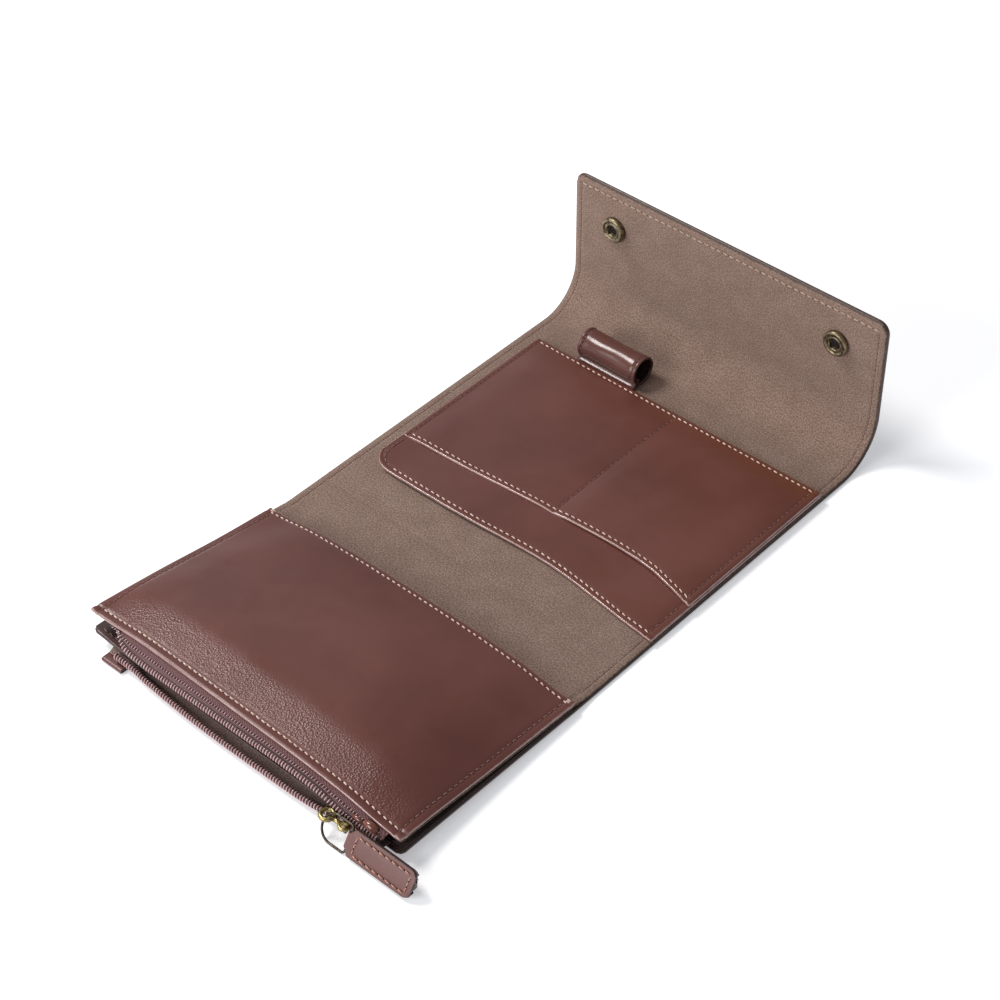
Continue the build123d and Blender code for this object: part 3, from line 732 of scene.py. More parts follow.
def build_front():
    fine = [Y_ZIP + d for d in (0.7, 1.1, 1.6, 2.2, 2.8, 3.3, 3.6, 3.9, 4.4, 5.0, 5.8, 6.8, 8.0, 9.5)]
    rows = spread(
        Y_ZIP + 0.4, Y_MOUTH - 0.3, 2.6, fine=fine + [Y_MOUTH - d for d in (0.7, 1.1, 1.5, 1.9, 2.3, 2.7, 3.3)]
    )
    insets = (0.7, 1.2, 1.8, 2.4, 2.9, 3.4, 4.0, 5.0, 6.5, 8.5, 11, 14)
    columns = spread(-HALF, HALF, 3.6, fine=[side * (X_EDGE - d) for side in (-1, 1) for d in insets])
    looks = {
        "Tint": [[0.05 + 0.35 * (1 - smooth((Y_MOUTH - y) / 1.4)) for _ in columns] for y in rows],
        "Worn": [[grain_band(x, y) for x in columns] for y in rows],
    }
    mats = [LEATHER_MAT, SUEDE_EDGE, RIM_HIGHLIGHT_MAT]
    pocket = shell("passport_pocket_leather", heights(rows, columns, front_top), LEATHER, mats, None, looks, 0.45)
    say(pocket, "front_panel", "leather", "passport_pocket")

    # suede leaf: the pocket's floor, running on past the mouth as far as the middle of the spine
    fold = Y_SPINE_FRONT
    fine = fold_rows(fold) + [Y_MOUTH + d for d in (0, 0.6, -1)] + [Y_ZIP + d for d in (2, 4, 6, 8)]
    rows = spread(Y_ZIP + 1.2, Y_SPINE_MID, 3.0, fine=fine)
    grid = heights(rows, LEAF_COLUMNS, divider_height)
    lining = shell("lining_front_run", grid, 0.7, [SUEDE_MAT, TAPE_BACK, SUEDE_EDGE])
    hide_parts("lining_front")
    join(lining)

    # outer cover, and the coin pocket's lining on it
    rows = spread(Y_ZIP + 0.4, Y_SPINE_MID, 3.0, fine=fold_rows(fold) + [Y_MOUTH] + [Y_ZIP + d for d in (1, 2, 3)])
    grid = []
    for y in rows:
        half = corner_width(y, Y_ZIP + 0.4, HALF, 1.6)
        grid.append([(x * half / HALF, y, front_floor(x, y) + COVER) for x in LEAF_COLUMNS])
    cover = shell("cover_front", grid, COVER, [OUTER_MAT, OUTER_MAT, EDGE_MAT])
    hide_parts("outer_cover_front")
    join(cover)

    rows = spread(Y_ZIP + 1.0, Y_MOUTH - 1.0, 4.0)
    grid = heights(rows, LEAF_COLUMNS, lambda x, y: front_floor(x, y) + COVER + 0.55)
    say(shell("coin_lining_floor", grid, 0.5, [LINING_MAT] * 3), "front_panel", "coin_lining", "coin_pocket_lining")

    # side walls of the coin pocket, folded inwards between the two leaves
    for side, label, start in ((-1, "left", Y_ZIP + 15.0), (1, "right", Y_ZIP + 1.6)):
        grid = []
        for y in spread(start, Y_MOUTH - 0.5, 3.0):
            x = side * (X_EDGE - 1.3)
            low = front_floor(x, y) + COVER
            high = divider_height(x, y) - 0.65
            tuck = min(3.0, max(0.1, (high - low) * 0.45))
            grid.append(
                [(x - side * tuck * sin(pi * t) * 0.9, y, low + (high - low) * t) for t in np.linspace(0, 1, 7)]
            )
        grid = np.array(grid[::-1] if side > 0 else grid)
        wall = shell(f"coin_wall_{label}", grid, 0.5, [LINING_MAT] * 3, grid[..., [2, 1]])
        say(wall, "front_panel", "coin_lining")


def front_stitches():
    light = Stitches("stitches_front_light", LIGHT_THREAD, "front_panel")
    reach = X_EDGE - 3.2
    light.line(surface_line(lambda t: (t, Y_ZIP + 3.1, front_top)), -reach, reach, 2 * reach, 2.45)
    reach = X_EDGE - 1.6
    light.line(surface_line(lambda t: (t, Y_MOUTH - 1.9, front_top)), -reach, reach, 2 * X_EDGE - 3)
    for side in (-1, 1):
        for y in (Y_MOUTH - 0.6, Y_MOUTH - 1.3):
            at = surface_line(lambda t, y=y: (t, y, front_top))
            light.line(at, side * (X_EDGE - 3.4), side * (X_EDGE - 1.0), 2.4, 2.4, hole=0.2)
    light.build()
    dark = Stitches("stitches_front_dark", DARK_THREAD, "front_panel")
    for side in (-1, 1):
        at = surface_line(lambda t, side=side: (side * (X_EDGE - SIDE_SEAM), t, front_top))
        dark.line(at, Y_ZIP + 2.2, Y_MOUTH - 2.8, Y_MOUTH - Y_ZIP - 5, width=0.48)
    dark.build()
    reach = X_EDGE - SIDE_SEAM
    for name, start, end, bodies, fold in RUNS:
        run = Stitches(f"stitches_side_{name}", DARK_THREAD, bodies, fold)
        for side in (-1, 1):
            low, high = start, S_TIP - 3.6 if name == "flap" else end
            # the card panel covers the leaf on the right
            if side > 0 and name == "spine":
                high = Y_SPINE_BACK + 4.0
            if side > 0 and name == "back":
                low = CARD_TOP + 1.0
            run.line(leaf_line(side * reach), low, high, high - low, width=0.36, height=0.16)
        run.build()
    tip = Stitches("stitches_flap_tip", FLAP_THREAD, "flap")
    for depth, out, height in ((0.2, -1, 0.2), (SUEDE + COVER - 0.1, 1, 0.25)):
        at = lambda t, depth=depth, out=out: (leaf(S_TIP - FLAP_SEAM, t, depth), (0, out, 0))
        tip.line(at, -reach, reach, 2 * reach, 2.9, width=0.46, height=height)
    tip.build()


# ---------------------------------------------------------------- zip
# (x, height) and (x, y) of the two tooth rows
UPPER_ROW = (
    (-58, 14.6), (-56.5, 13.4), (-53, 11.9), (-48, 10.9), (-40, 10.3), (-28, 10.3),
    (-10, 10.6), (18, 10.9), (32, 10.5), (40, 9.6), (46, 8.0), (51, 6.95), (65, 6.95),
)
UPPER_OUT = ((-58, -174.3), (-56, -175.6), (-53, -176.9), (-49, -177.35), (65, -177.35))
LOWER_ROW = (
    (-59, 4.1), (-49, 3.8), (-36, 3.5), (-17, 3.1), (20, 3.0), (38, 3.4), (47, 4.2), (53, 4.95), (65, 4.95),
)
LOWER_OUT = (
    (-59, -177.35), (-48.5, -177.4), (-42, -178.1), (-17, -179.3), (20, -179.4),
    (38, -179.0), (49, -177.7), (53, -177.35), (65, -177.35),
)
COIL_LEFT, COIL_RIGHT = -57.5, 64.5
COIL_PITCH = 1.2


def upper_line(x):
    return curve(UPPER_OUT, x), curve(UPPER_ROW, x)


def lower_line(x):
    return curve(LOWER_OUT, x), curve(LOWER_ROW, x)


def coil_row(name, node, line, up):
    """Moulded nylon coil: one looped tooth after another along the tape's edge, with a near-black cord through
    them, painted shade in the gaps between the teeth.
    """
    verts, faces = [], []
    sides, rings, wire = 8, 9, 0.28
    out = Vector((0, -1, 0))
    for x in np.arange(COIL_LEFT, COIL_RIGHT, COIL_PITCH):
        y, z = line(x)
        y1, z1 = line(x + 0.2)
        along = Vector((0.2, y1 - y, z1 - z)).normalized()
        rise = along.cross(out).normalized() * up
        faces += tube_faces(len(verts), rings, sides)
        for k in range(rings):
            phi = pi * (1.5 * k / (rings - 1) - 0.25)
            centre = Vector((x, y, z)) + out * (0.874 * sin(phi)) + (along * 0.16 - rise * 0.98) * cos(phi)
            across = (out * cos(phi) + rise * sin(phi)).normalized().cross(along).normalized()
            for m in range(sides):
                psi = 2 * pi * m / sides
                verts.append(centre + along * (wire * cos(psi)) + across * (wire * sin(psi)))
    say(make(name, verts, faces, [COIL_GLINT_MAT]), "front_panel", "zip_teeth", node)
    core = [(x, line(x)[0] + 0.15, line(x)[1]) for x in np.arange(-58.0, 65.1, 1.5)]
    tube(f"{name}_shaded_core", core, 0.93, CORD_SHADE_MAT, "front_panel", "zip_teeth")


def tube(name, points, radius, mat, body, slot, sides=10):
    """A round tube along points, with its frame carried from one to the next."""
    points = [Vector(p) for p in points]
    count = len(points)
    verts = []
    side = (points[1] - points[0]).normalized().orthogonal().normalized()
    for k, point in enumerate(points):
        tangent = (points[min(k + 1, count - 1)] - points[max(k - 1, 0)]).normalized()
        side = (side - tangent * side.dot(tangent)).normalized()
        across = tangent.cross(side)
        r = radius(k / (count - 1)) if callable(radius) else radius
        for m in range(sides):
            psi = 2 * pi * m / sides
            verts.append(point + side * r * cos(psi) + across * r * sin(psi))
    return say(make(name, verts, tube_faces(0, count, sides), [mat]), body, slot)


def build_zip():
    coil_row("zip_coil_upper", "zip_chain_upper", upper_line, 1)
    coil_row("zip_coil_lower", "zip_chain_lower", lower_line, -1)
    # the upper tape hangs from under the leather's edge and swells slightly on its way to the coil
    columns = spread(-61.5, 66.0, 2.0)
    upper = []
    for t in np.linspace(0, 1, 12):
        row = []
        for x in columns:
            y0, z0 = upper_line(max(COIL_LEFT, x))
            y1, z1 = Y_ZIP + 0.6, front_top(x, Y_ZIP + 0.6) - LEATHER - 0.1
            z0 += 0.9
            z0 = min(z0 + (z1 - 0.6 - z0) * smooth((-x - 57.0) / 4.0), z1 - 0.3)
            row.append((x, y0 + (y1 - y0) * t - 0.5 * sin(pi * min(1.0, t * 1.1)), z0 + (z1 - z0) * t))
        upper.append(row)
    cloth = shell("zip_tape_upper_cloth", upper, 0.45, [TAPE_MAT] * 3, np.array(upper)[..., [0, 2]])
    say(cloth, "front_panel", "zip_tape", "zip_tape_upper")
    lower = []
    for t in np.linspace(0, 1, 8):
        row = []
        for x in columns:
            y0, z0 = lower_line(max(COIL_LEFT, min(COIL_RIGHT, x)))
            y0, z0 = y0 + 0.5, z0 - 0.7
            y1, z1 = Y_ZIP + 3.0, front_floor(x, Y_ZIP) + COVER + 0.35
            row.append((x, y0 + (y1 - y0) * t, z0 + (z1 - z0) * smooth(t)))
        lower.append(row)
    cloth = shell("zip_tape_lower_cloth", lower, 0.45, [TAPE_BACK] * 3)
    say(cloth, "front_panel", "zip_tape", "zip_tape_lower")
    # woven ticks along the middle of the upper tape, and the thread that holds the coil, near-black as painted
    # shade along the coil's top
    ticks = Stitches("zip_tape_ticks", TICK_MAT, "front_panel")
    for k in range(104):
        x = -60.0 + 1.2 * k
        low, high = (min(upper[i], key=lambda p: abs(p[0] - x)) for i in (6, 8))
        along = Vector(high) - Vector(low) + Vector((0.25, 0, 0))
        ticks.lump((x, low[1] - 0.12, low[2]), along, (0, -1, 0.2), 1.15, 0.30, 0.10, 0, rings=4)
        ticks.lump((x + 0.6, low[1] - 0.10, low[2]), along, (0, -1, 0.2), 1.0, 0.28, 0.06, 1, rings=4)
    ticks.build()
    hold = []
    for x in [min(-57.0 + 1.5 * k, 65) for k in range(83)]:
        y, z = upper_line(x)
        hold.append((x, y + 0.25, z + 1.35))
    tube("zip_coil_seam_shade", hold, 0.24, CORD_SHADE_MAT, "front_panel", "zip_teeth")
    # stitching along the lower leaf's front edge
    seam = Stitches("stitches_lower_edge", DARK_THREAD, "front_panel")
    at = surface_line(lambda t: (t, Y_ZIP + 1.8, lambda x, y: front_floor(x, y) + COVER + 0.6))
    seam.line(at, -X_EDGE + 3, X_EDGE - 3, 2 * X_EDGE - 6, 2.7, width=0.45)
    seam.build()


# ---------------------------------------------------------------- slider, link, ring and pull tab
X_PIN = 53.0
Y_PIN = -180.45
Z_LINK = 6.45
X_EYE = 45.2


def prism(name, outline, depth, y, mat, bevel):
    """A closed plate with bevelled edges, from an (x, z) outline, starting at y and going back by depth."""
    count = len(outline)
    verts = [(u, y, v) for u, v in outline] + [(u, y + depth, v) for u, v in outline]
    faces = [tuple(range(count))[::-1], tuple(range(count, 2 * count))]
    faces += [(k, (k + 1) % count, count + (k + 1) % count, count + k) for k in range(count)]
    obj = make(name, verts, faces, [mat])
    mesh = bmesh.new()
    mesh.from_mesh(obj.data)
    bmesh.ops.recalc_face_normals(mesh, faces=mesh.faces)
    mesh.to_mesh(obj.data)
    mesh.free()
    modifier = obj.modifiers.new("Bevel", "BEVEL")
    modifier.width = bevel * MM
    modifier.segments = 3
    modifier.limit_method = "ANGLE"
    modifier.angle_limit = radians(40)
    obj.modifiers.new("Normals", "WEIGHTED_NORMAL")
    return obj


def arc_points(cx, cy, r, start, end, count=5):
    turns = [radians(start + (end - start) * k / count) for k in range(count + 1)]
    return [(cx + r * cos(a), cy + r * sin(a)) for a in turns]


def paint(node, mat):
    """Gives a CAD node that stays visible a material."""
    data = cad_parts[node].data
    data.materials.clear()
    data.materials.append(mat)
    return data


def build_slider():
    """Enamelled body with two plates, a rounded crown and the zip's end stop. The CAD's bail is painted brass."""
    x0, x1, z = 49.0, 57.0, 5.95
    outline = arc_points(x0 + 1.6, z + 1.0, 1.35, 180, 100) + arc_points(x1 - 1.4, z + 0.6, 1.4, 80, 0)
    outline += arc_points(x1 - 1.4, z - 0.6, 1.4, 0, -80) + arc_points(x0 + 1.6, z - 1.0, 1.35, -100, -180)
    front = prism("slider_plate_front", outline[::-1], 0.6, -179.15, SLIDER_MAT, 0.22)
    say(front, "slider", "antique_brass", "slider_body")
    say(prism("slider_plate_back", outline[::-1], 0.6, -176.15, SLIDER_MAT, 0.22), "slider", "antique_brass")
    post = [(x0 + 0.4, 5.2), (x0 + 2.0, 5.45), (x0 + 2.0, 6.45), (x0 + 0.4, 6.7)]
    say(prism("slider_post", post, 3.0, -178.85, SLIDER_MAT, 0.2), "slider", "antique_brass")
    y = -176.6
    crown = [(52.6, y - 0.1, 8.2), (53.3, y, 8.55), (55.0, y, 8.6), (56.5, y, 8.5), (57.1, y - 0.1, 8.1)]
    y = -176.4
    stop = [(57.9, y, 9.0), (58.5, y, 9.3), (60.6, y, 9.0), (62.7, y, 8.5), (63.3, y, 8.1)]
    for name, path, thin, swell, body, slot in (
        ("slider_crown", crown, 0.35, 0.57, "slider", "antique_brass"),
        ("zip_end_stop", stop, 0.50, 1.05, "front_panel", "zip_teeth"),
    ):
        tube(name, path, lambda t: thin + swell * sin(pi * t) ** 0.4, SLIDER_MAT, body, slot, 16)
    paint("slider_bail", BRASS_MAT)


def build_pull():
    """Figure-eight link cast in brass: a big eye for the ring and a small one round the pin."""
    verts, faces = [], []
    # centre, radius, half width and half height of the metal, and how finely it is cut
    for cx, major, half_width, half_height, ring, sides in (
        (X_EYE, 2.2, 0.82, 0.85, 36, 12),
        (X_PIN - 0.5, 1.45, 0.62, 0.62, 28, 10),
    ):
        faces += ring_faces(len(verts), ring, sides)
        for k in range(ring):
            a = 2 * pi * k / ring
            for m in range(sides):
                b = 2 * pi * m / sides
                r = major + half_width * abs(cos(b)) ** 0.7 * (1 if cos(b) > 0 else -1)
                verts.append((cx + r * cos(a), Y_PIN + r * sin(a), Z_LINK + half_height * sin(b)))
    say(make("pull_link_cast", verts, faces, [BRASS_MAT]), "pull_link", "antique_brass", "pull_link")
    neck = [(x, Y_PIN, Z_LINK) for x in (X_EYE + 2.4, X_EYE + 4.2, X_PIN - 1.9)]
    tube("pull_link_neck", neck, lambda t: 0.85 - 0.1 * sin(pi * t), BRASS_MAT, "pull_link", "antique_brass", 12)
    for polygon in paint("wire_ring", BRONZE_MAT).polygons:
        polygon.use_smooth = True


TAB_LENGTH, TAB_HALF, TAB_THICK = 28.0, 5.0, 2.4
TAB_TIP = 3.0  # radius of the tip's corners
TAB_NECK = 2.9  # half width at the ring
TAB_LEAN = radians(56)
TAB_ORIGIN = Vector((56.6, Y_ZIP - 7.4, TAB_HALF * sin(TAB_LEAN) + TAB_THICK / 2 * cos(TAB_LEAN)))
TAB_ACROSS = Vector((0, cos(TAB_LEAN), sin(TAB_LEAN)))
TAB_UP = Vector((0, -sin(TAB_LEAN), cos(TAB_LEAN)))


def tab_place(u, v, w):
    return TAB_ORIGIN + Vector((1, 0, 0)) * u + TAB_ACROSS * v + TAB_UP * w


def tab_half_width(u):
    if u > TAB_LENGTH - TAB_TIP:
        return TAB_HALF - TAB_TIP + sqrt(max(0.0, TAB_TIP**2 - (TAB_TIP - TAB_LENGTH + u) ** 2))
    if u < 2.2:
        return TAB_NECK + (TAB_HALF - TAB_NECK) * smooth((u + 0.2) / 2.3)
    return TAB_HALF


def build_tab():
    """Leather strip folded round the ring and stitched to itself, with notched shoulders and a rounded tip."""
    us = [-1.1, -0.9, -0.5, 0.0, 0.5, 1.0, 1.5, 2.0, 2.6, 3.4] + list(np.arange(4.4, 25.0, 1.2))
    us += [TAB_LENGTH - TAB_TIP + TAB_TIP * sin(pi / 2 * k / 8) for k in range(8)] + [TAB_LENGTH - 0.25]
    vs = [0.2, 0.4, 0.6, 0.68, 0.76, 0.86, 0.94, 1.0]
    inset = TAB_HALF - 1.75
    grid, thickness = [], []
    for u in sorted(set(round(u, 3) for u in us)):
        row, t_row = [], []
        for v in [-v for v in vs[::-1]] + [0.0] + vs:
            across = v * (tab_half_width(u) - 0.35)
            rise = TAB_THICK / 2
            if u < 0.4:
                rise = sqrt(max(0.05, rise**2 - (0.4 - u) ** 2 * 0.75))
            swell = (0.28 * (1 - abs(v) ** 2.5) - 0.10) * smooth((u - 0.5) / 3)
            swell -= seam_groove(abs(across) - inset, 0.5, 0.16) if u > 3 else 0.0
            swell -= seam_groove(u - (TAB_LENGTH - 2.1), 0.5, 0.16)
            row.append(tuple(tab_place(u, across, rise + swell)))
            t_row.append(2 * rise + swell)
        grid.append(row)
        thickness.append(t_row)
    grid = np.array(grid).transpose(1, 0, 2)
    mats = [STRAP_MAT, STRAP_MAT, EDGE_MAT]
    tab = shell("pull_tab_leather", grid, np.array(thickness).T, mats, None, even(grid, 0.1, 0.25), 0.35)
    say(tab, "pull_tab", "leather", "pull_tab")
    seam = Stitches("stitches_pull_tab", TAB_THREAD, "pull_tab")
    for side in (-1, 1):
        for w, up in ((TAB_THICK / 2 + 0.12, TAB_UP), (-TAB_THICK / 2 - 0.02, -TAB_UP)):
            at = lambda t, side=side, w=w, up=up: (tab_place(t, side * inset, w), up)
            seam.line(at, 3.6, TAB_LENGTH - 2.3, TAB_LENGTH - 6, 2.6, width=0.5, height=0.26)
    at = lambda t: (tab_place(TAB_LENGTH - 2.1, t, TAB_THICK / 2 + 0.10), TAB_UP)
    seam.line(at, -inset + 0.4, inset - 0.4, 2 * inset, 2.3, width=0.5, height=0.26)
    at = lambda t: (tab_place(3.5, t, TAB_THICK / 2 + 0.20), TAB_UP)
    seam.line(at, -inset + 0.2, inset - 0.2, 2 * inset, 2.3, width=0.55, height=0.3)
    seam.build()


def build_strap():
    """Small folded leather loop under the left end of the zip."""
    x0, x1 = -63.0, -53.0
    back, nose = Y_ZIP + 2.6, Y_ZIP - 4.05
    path = [(back, 1.7)] + [(nose + 2.5 * k, 1.75) for k in (2, 1, 0)]
    turns = [radians(a) for a in (110, 135, 160, 180, 200, 225, 250)]
    path += [(nose + 0.9 * cos(a), 0.93 + 0.82 * sin(a)) for a in turns]
    path += [(nose + 2.5 * k, 0.12) for k in (0, 1, 2)] + [(back, 0.12)]
    columns = [x0 + 0.3, x0 + 0.7, x0 + 1.3] + list(np.linspace(x0 + 2, x1 - 2, 6)) + [x1 - 1.3, x1 - 0.7, x1 - 0.3]
    grid = [[(x, y, z + 0.10) for x in columns] for y, z in path[::-1]]
    strap = shell("strap_loop_leather", grid, 0.7, [OUTER_MAT, OUTER_MAT, EDGE_MAT], bulge=0.2)
    say(strap, "front_panel", "leather", "strap_loop")


# ---------------------------------------------------------------- card panel
# (x, y) of the backing's lower edge and of the card pockets' mouth
CARD_LOW = (
    (-63.5, -49.9), (-50, -50.2), (-30, -50.2), (-12, -49.6), (2, -48.6),
    (17, -47.9), (30, -48.4), (45, -50.2), (60, -52.2), (71.5, -52.9),
)
CARD_MOUTH = (
    (-63.5, -31.9), (-50, -31.6), (-34, -30.9), (-15, -29.4), (3, -28.1),
    (20, -26.9), (36, -26.5), (50, -27.3), (60, -29.6), (71.5, -32.3),
)


def card_low(x):
    y = curve(CARD_LOW, x)
    d = x - CARD_LEFT
    if d < CARD_CORNER:
        y += CARD_CORNER - sqrt(max(0.0, CARD_CORNER**2 - (CARD_CORNER - d) ** 2))
    return y


def card_mouth(x):
    return curve(CARD_MOUTH, x)


def backing_top(x, y):
    """Upper surface of the leaf that carries the cards."""
    to_left, to_right, to_top = x - CARD_LEFT, X_EDGE - x, CARD_TOP - y
    sewn = smooth(min(to_right, to_top) / 8.0)
    z = 3.55 + 0.75 * sewn + 0.35 * sin((x + 60) / 22.0) * sewn * smooth(to_left / 20)
    low = y - card_low(x)
    z += 0.5 * smooth((14 - to_left) / 14) * smooth((30 - low) / 30)
    z -= seam_groove(low - 2.2, 0.9, 0.2) + 0.12 * (1 - smooth(low))
    return z - seam_groove(to_right - SIDE_SEAM, 0.8, 0.2)


def card_top(x, y):
    """Upper surface of the card pockets' front."""
    to_left, to_right, to_top = x - CARD_LEFT, X_EDGE - x, CARD_TOP - y
    edge = min(to_left, to_right)
    open_side = smooth(edge / 11.0)
    puff = 0.75 * open_side * smooth(to_top / 12.0)
    puff -= 0.42 * (1 - smooth(abs(x - DIVIDER_X) / 7.0)) * smooth(to_top / 6.0)
    z = 4.9 + puff + 0.25 * sin((y + 20) / 17.0) * open_side
    z -= seam_groove(to_top - 2.0, 0.9, 0.25) + seam_groove(to_left - 2.2, 0.8, 0.25)
    z -= seam_groove(to_right - SIDE_SEAM, 0.8, 0.25) + seam_groove(x - DIVIDER_X, 0.8, 0.28)
    z -= seam_groove(y - card_mouth(x) - 2.0, 0.8, 0.16)
    return z - 0.3 * (1 - smooth(edge / 1.3)) - 0.3 * (1 - smooth(to_top / 1.3))


def card_grid(low, height, inset=0.35):
    """A grid from the curved line low up to the panel's top, with closer rows at both."""
    corner = [CARD_LEFT + inset + CARD_CORNER * (1 - cos(pi / 2 * k / 9)) for k in range(10)]
    seams = (CARD_LEFT + 2.2, X_EDGE - SIDE_SEAM, DIVIDER_X)
    columns = spread(CARD_LEFT + inset, HALF, 3.0, near=seams, fine=corner)
    margin = [0, 0.4, 0.9, 1.5, 2.0, 2.5, 3.2, 4.5]
    between = 18
    top = CARD_TOP - inset
    ladders = []
    for x in columns:
        start = low(x) + inset
        middle = [start + 4.5 + (top - start - 9.0) * k / (between + 1) for k in range(1, between + 1)]
        ladders.append([start + d for d in margin] + middle + [top - d for d in margin[::-1]])
    return [[(x, y, height(x, y)) for x, y in zip(columns, row)] for row in zip(*ladders)]


def card_tint(x, y, low, pocket):
    top = smooth((13 - (CARD_TOP - y)) / 13) if pocket else 0.0
    right = 0.35 + 0.65 * smooth((x + 30) / 70)
    mouth = 0.5 * (1 - smooth((y - low(x)) / 1.6))
    return min(0.7, 0.45 * top * right + mouth + 0.06 + 0.10 * smooth(x / 60))


def build_cards():
    for name, low, height, node in (
        ("card_backing_leather", card_low, backing_top, "card_panel_backing"),
        ("card_pocket_leather", card_mouth, card_top, "card_pocket"),
    ):
        grid = card_grid(low, height)
        looks = even(grid, 0.0)
        looks["Tint"] = [[card_tint(x, y, low, node == "card_pocket") for x, y, _ in row] for row in grid]
        obj = shell(name, grid, 1.1, [LEATHER_MAT, SUEDE_EDGE, RIM_HIGHLIGHT_MAT], None, looks, 0.4)
        say(obj, "back_panel", "leather", node)
    light = Stitches("stitches_card_light", LIGHT_THREAD, "back_panel")
    # along the top, the backing's lower edge and the pockets' mouth
    for row, height, start, end, length, pitch, width in (
        (lambda x: CARD_TOP - 2.0, card_top, CARD_LEFT + 2.4, X_EDGE - 2.4, 130, 2.6, 0.52),
        (lambda x: card_low(x) + 2.3, backing_top, CARD_LEFT + 10.0, X_EDGE - 2.6, 123, 2.7, 0.52),
        (lambda x: card_mouth(x) + 2.0, card_top, CARD_LEFT + 2.4, X_EDGE - 2.4, 130, 2.7, 0.46),
    ):
        at = surface_line(lambda t, row=row, height=height: (t, row(t), height))
        light.line(at, start, end, length, pitch, width=width)
    light.build()
    dark = Stitches("stitches_card_dark", DARK_THREAD, "back_panel")

    def upright(x, start, end, length, height, pitch=2.5):
        dark.line(surface_line(lambda t: (x, t, height)), start, end, length, pitch, width=0.46)

    upright(DIVIDER_X, -26.0, CARD_TOP - 3, 67, card_top)
    upright(CARD_LEFT + 2.2, -29.0, CARD_TOP - 3, 70, card_top)
    upright(X_EDGE - SIDE_SEAM, -29.5, CARD_TOP - 3, 70, card_top)
    upright(X_EDGE - SIDE_SEAM, -50.0, -34.0, 16, backing_top)
    cx, cy, r = CARD_LEFT + CARD_CORNER + 0.1, -49.9 + CARD_CORNER, CARD_CORNER - 2.3
    corner = surface_line(lambda t: (cx + r * cos(t), cy + r * sin(t), backing_top))
    dark.line(corner, pi, pi * 1.5, 10.5, 2.4, width=0.46)
    upright(CARD_LEFT + 2.3, -40.5, -33.5, 7, backing_top, 2.4)
    dark.build()


def build_pen_loop():
    """Glossy leather tube with a hemmed, beaded edge at each end, and a flat tail sewn along the card panel."""
    x0, x1 = -45.0, -17.0
    cy, cz = PEN_AXIS
    inner = PEN_OUTER - 1.0
    ends = (0, 0.15, 0.5, 0.9, 1.3, 1.6, 1.9, 2.3, 2.9)
    xs = [x0 + d for d in ends] + list(np.linspace(x0 + 4, x1 - 4, 16)) + [x1 - d for d in ends[::-1]]

    def radius(x):
        d = min(x - x0, x1 - x)
        bead = 0.32 * sin(pi * min(1.0, d / 1.5)) if d < 1.5 else 0.0
        groove = 0.30 * max(0.0, 1 - abs(d - 1.75) / 0.35)
        second = 0.12 * sin(pi * (d - 2.0) / 1.2) if 2.0 < d < 3.2 else 0.0
        return PEN_OUTER - 0.30 + bead - groove + second

    sides = 44
    turns = [2 * pi * m / sides for m in range(sides)]
    verts = []
    for x in xs:
        for a in turns:
            r = radius(x) + 0.07 * sin(3 * a + x * 0.35)
            verts.append((x, cy + r * cos(a), cz + r * sin(a)))
    inside = (x1 - 0.05, x1 - 0.8, (x0 + x1) / 2, x0 + 0.8, x0 + 0.05)
    verts += [(x, cy + inner * cos(a), cz + inner * sin(a)) for x in inside for a in turns]
    faces = ring_faces(0, len(xs) + len(inside), sides)
    leather = (len(xs) - 1) * sides
    mats = [0] * leather + [1] * (len(faces) - leather)
    looks = {"Tint": [0.15] * len(verts), "Worn": [0.0] * len(verts)}
    loop = make("pen_loop_tube", verts, faces, [PEN_MAT, EDGE_MAT], mats, None, looks)
    say(loop, "back_panel", "leather", "pen_loop")
    grid = []
    for t in np.linspace(0, 1, 14):
        y = CARD_TOP - 1.0 + (cy - CARD_TOP - 1.2) * t
        z = HINGE_Z + 1.15 + 2.34 * smooth((t - 0.35) / 0.65)
        grid.append([(x, y, z) for x in spread(x0 + 0.3, x1 - 0.3, 2.0)])
    tail = shell("pen_loop_tail", grid, 0.9, [PEN_MAT, SUEDE_EDGE, EDGE_MAT], None, even(grid, 0.1), 0.3)
    say(tail, "back_panel", "leather")
    seams = Stitches("stitches_pen_loop", DARK_THREAD, "back_panel")
    r = PEN_OUTER - 0.45
    for x in (x0 + 1.75, x1 - 1.75):
        at = lambda t, x=x: ((x, cy + r * cos(t), cz + r * sin(t)), (0, cos(t), sin(t)))
        seams.line(at, radians(200), radians(10), 20, 1.9, width=0.36, height=0.2)
    seams.build()


# ---------------------------------------------------------------- snaps
def lathe(name, profile, place, axis, mat, sides=60):
    """Turns a (radius, height) profile round an axis that passes through place."""
    axis = Vector(axis)
    side = axis.orthogonal().normalized()
    across = axis.cross(side)
    verts = []
    for r, h in profile:
        for m in range(sides):
            a = 2 * pi * m / sides
            radius = r(a) if callable(r) else r
            verts.append(Vector(place) + axis * h + side * radius * cos(a) + across * radius * sin(a))
    return make(name, verts, tube_faces(0, len(profile), sides), [mat])


def star(r, depth, points=5):
    """A radius that waves in and out, for the springs in a socket."""
    return lambda a: r * (1 + depth * cos(points * a))


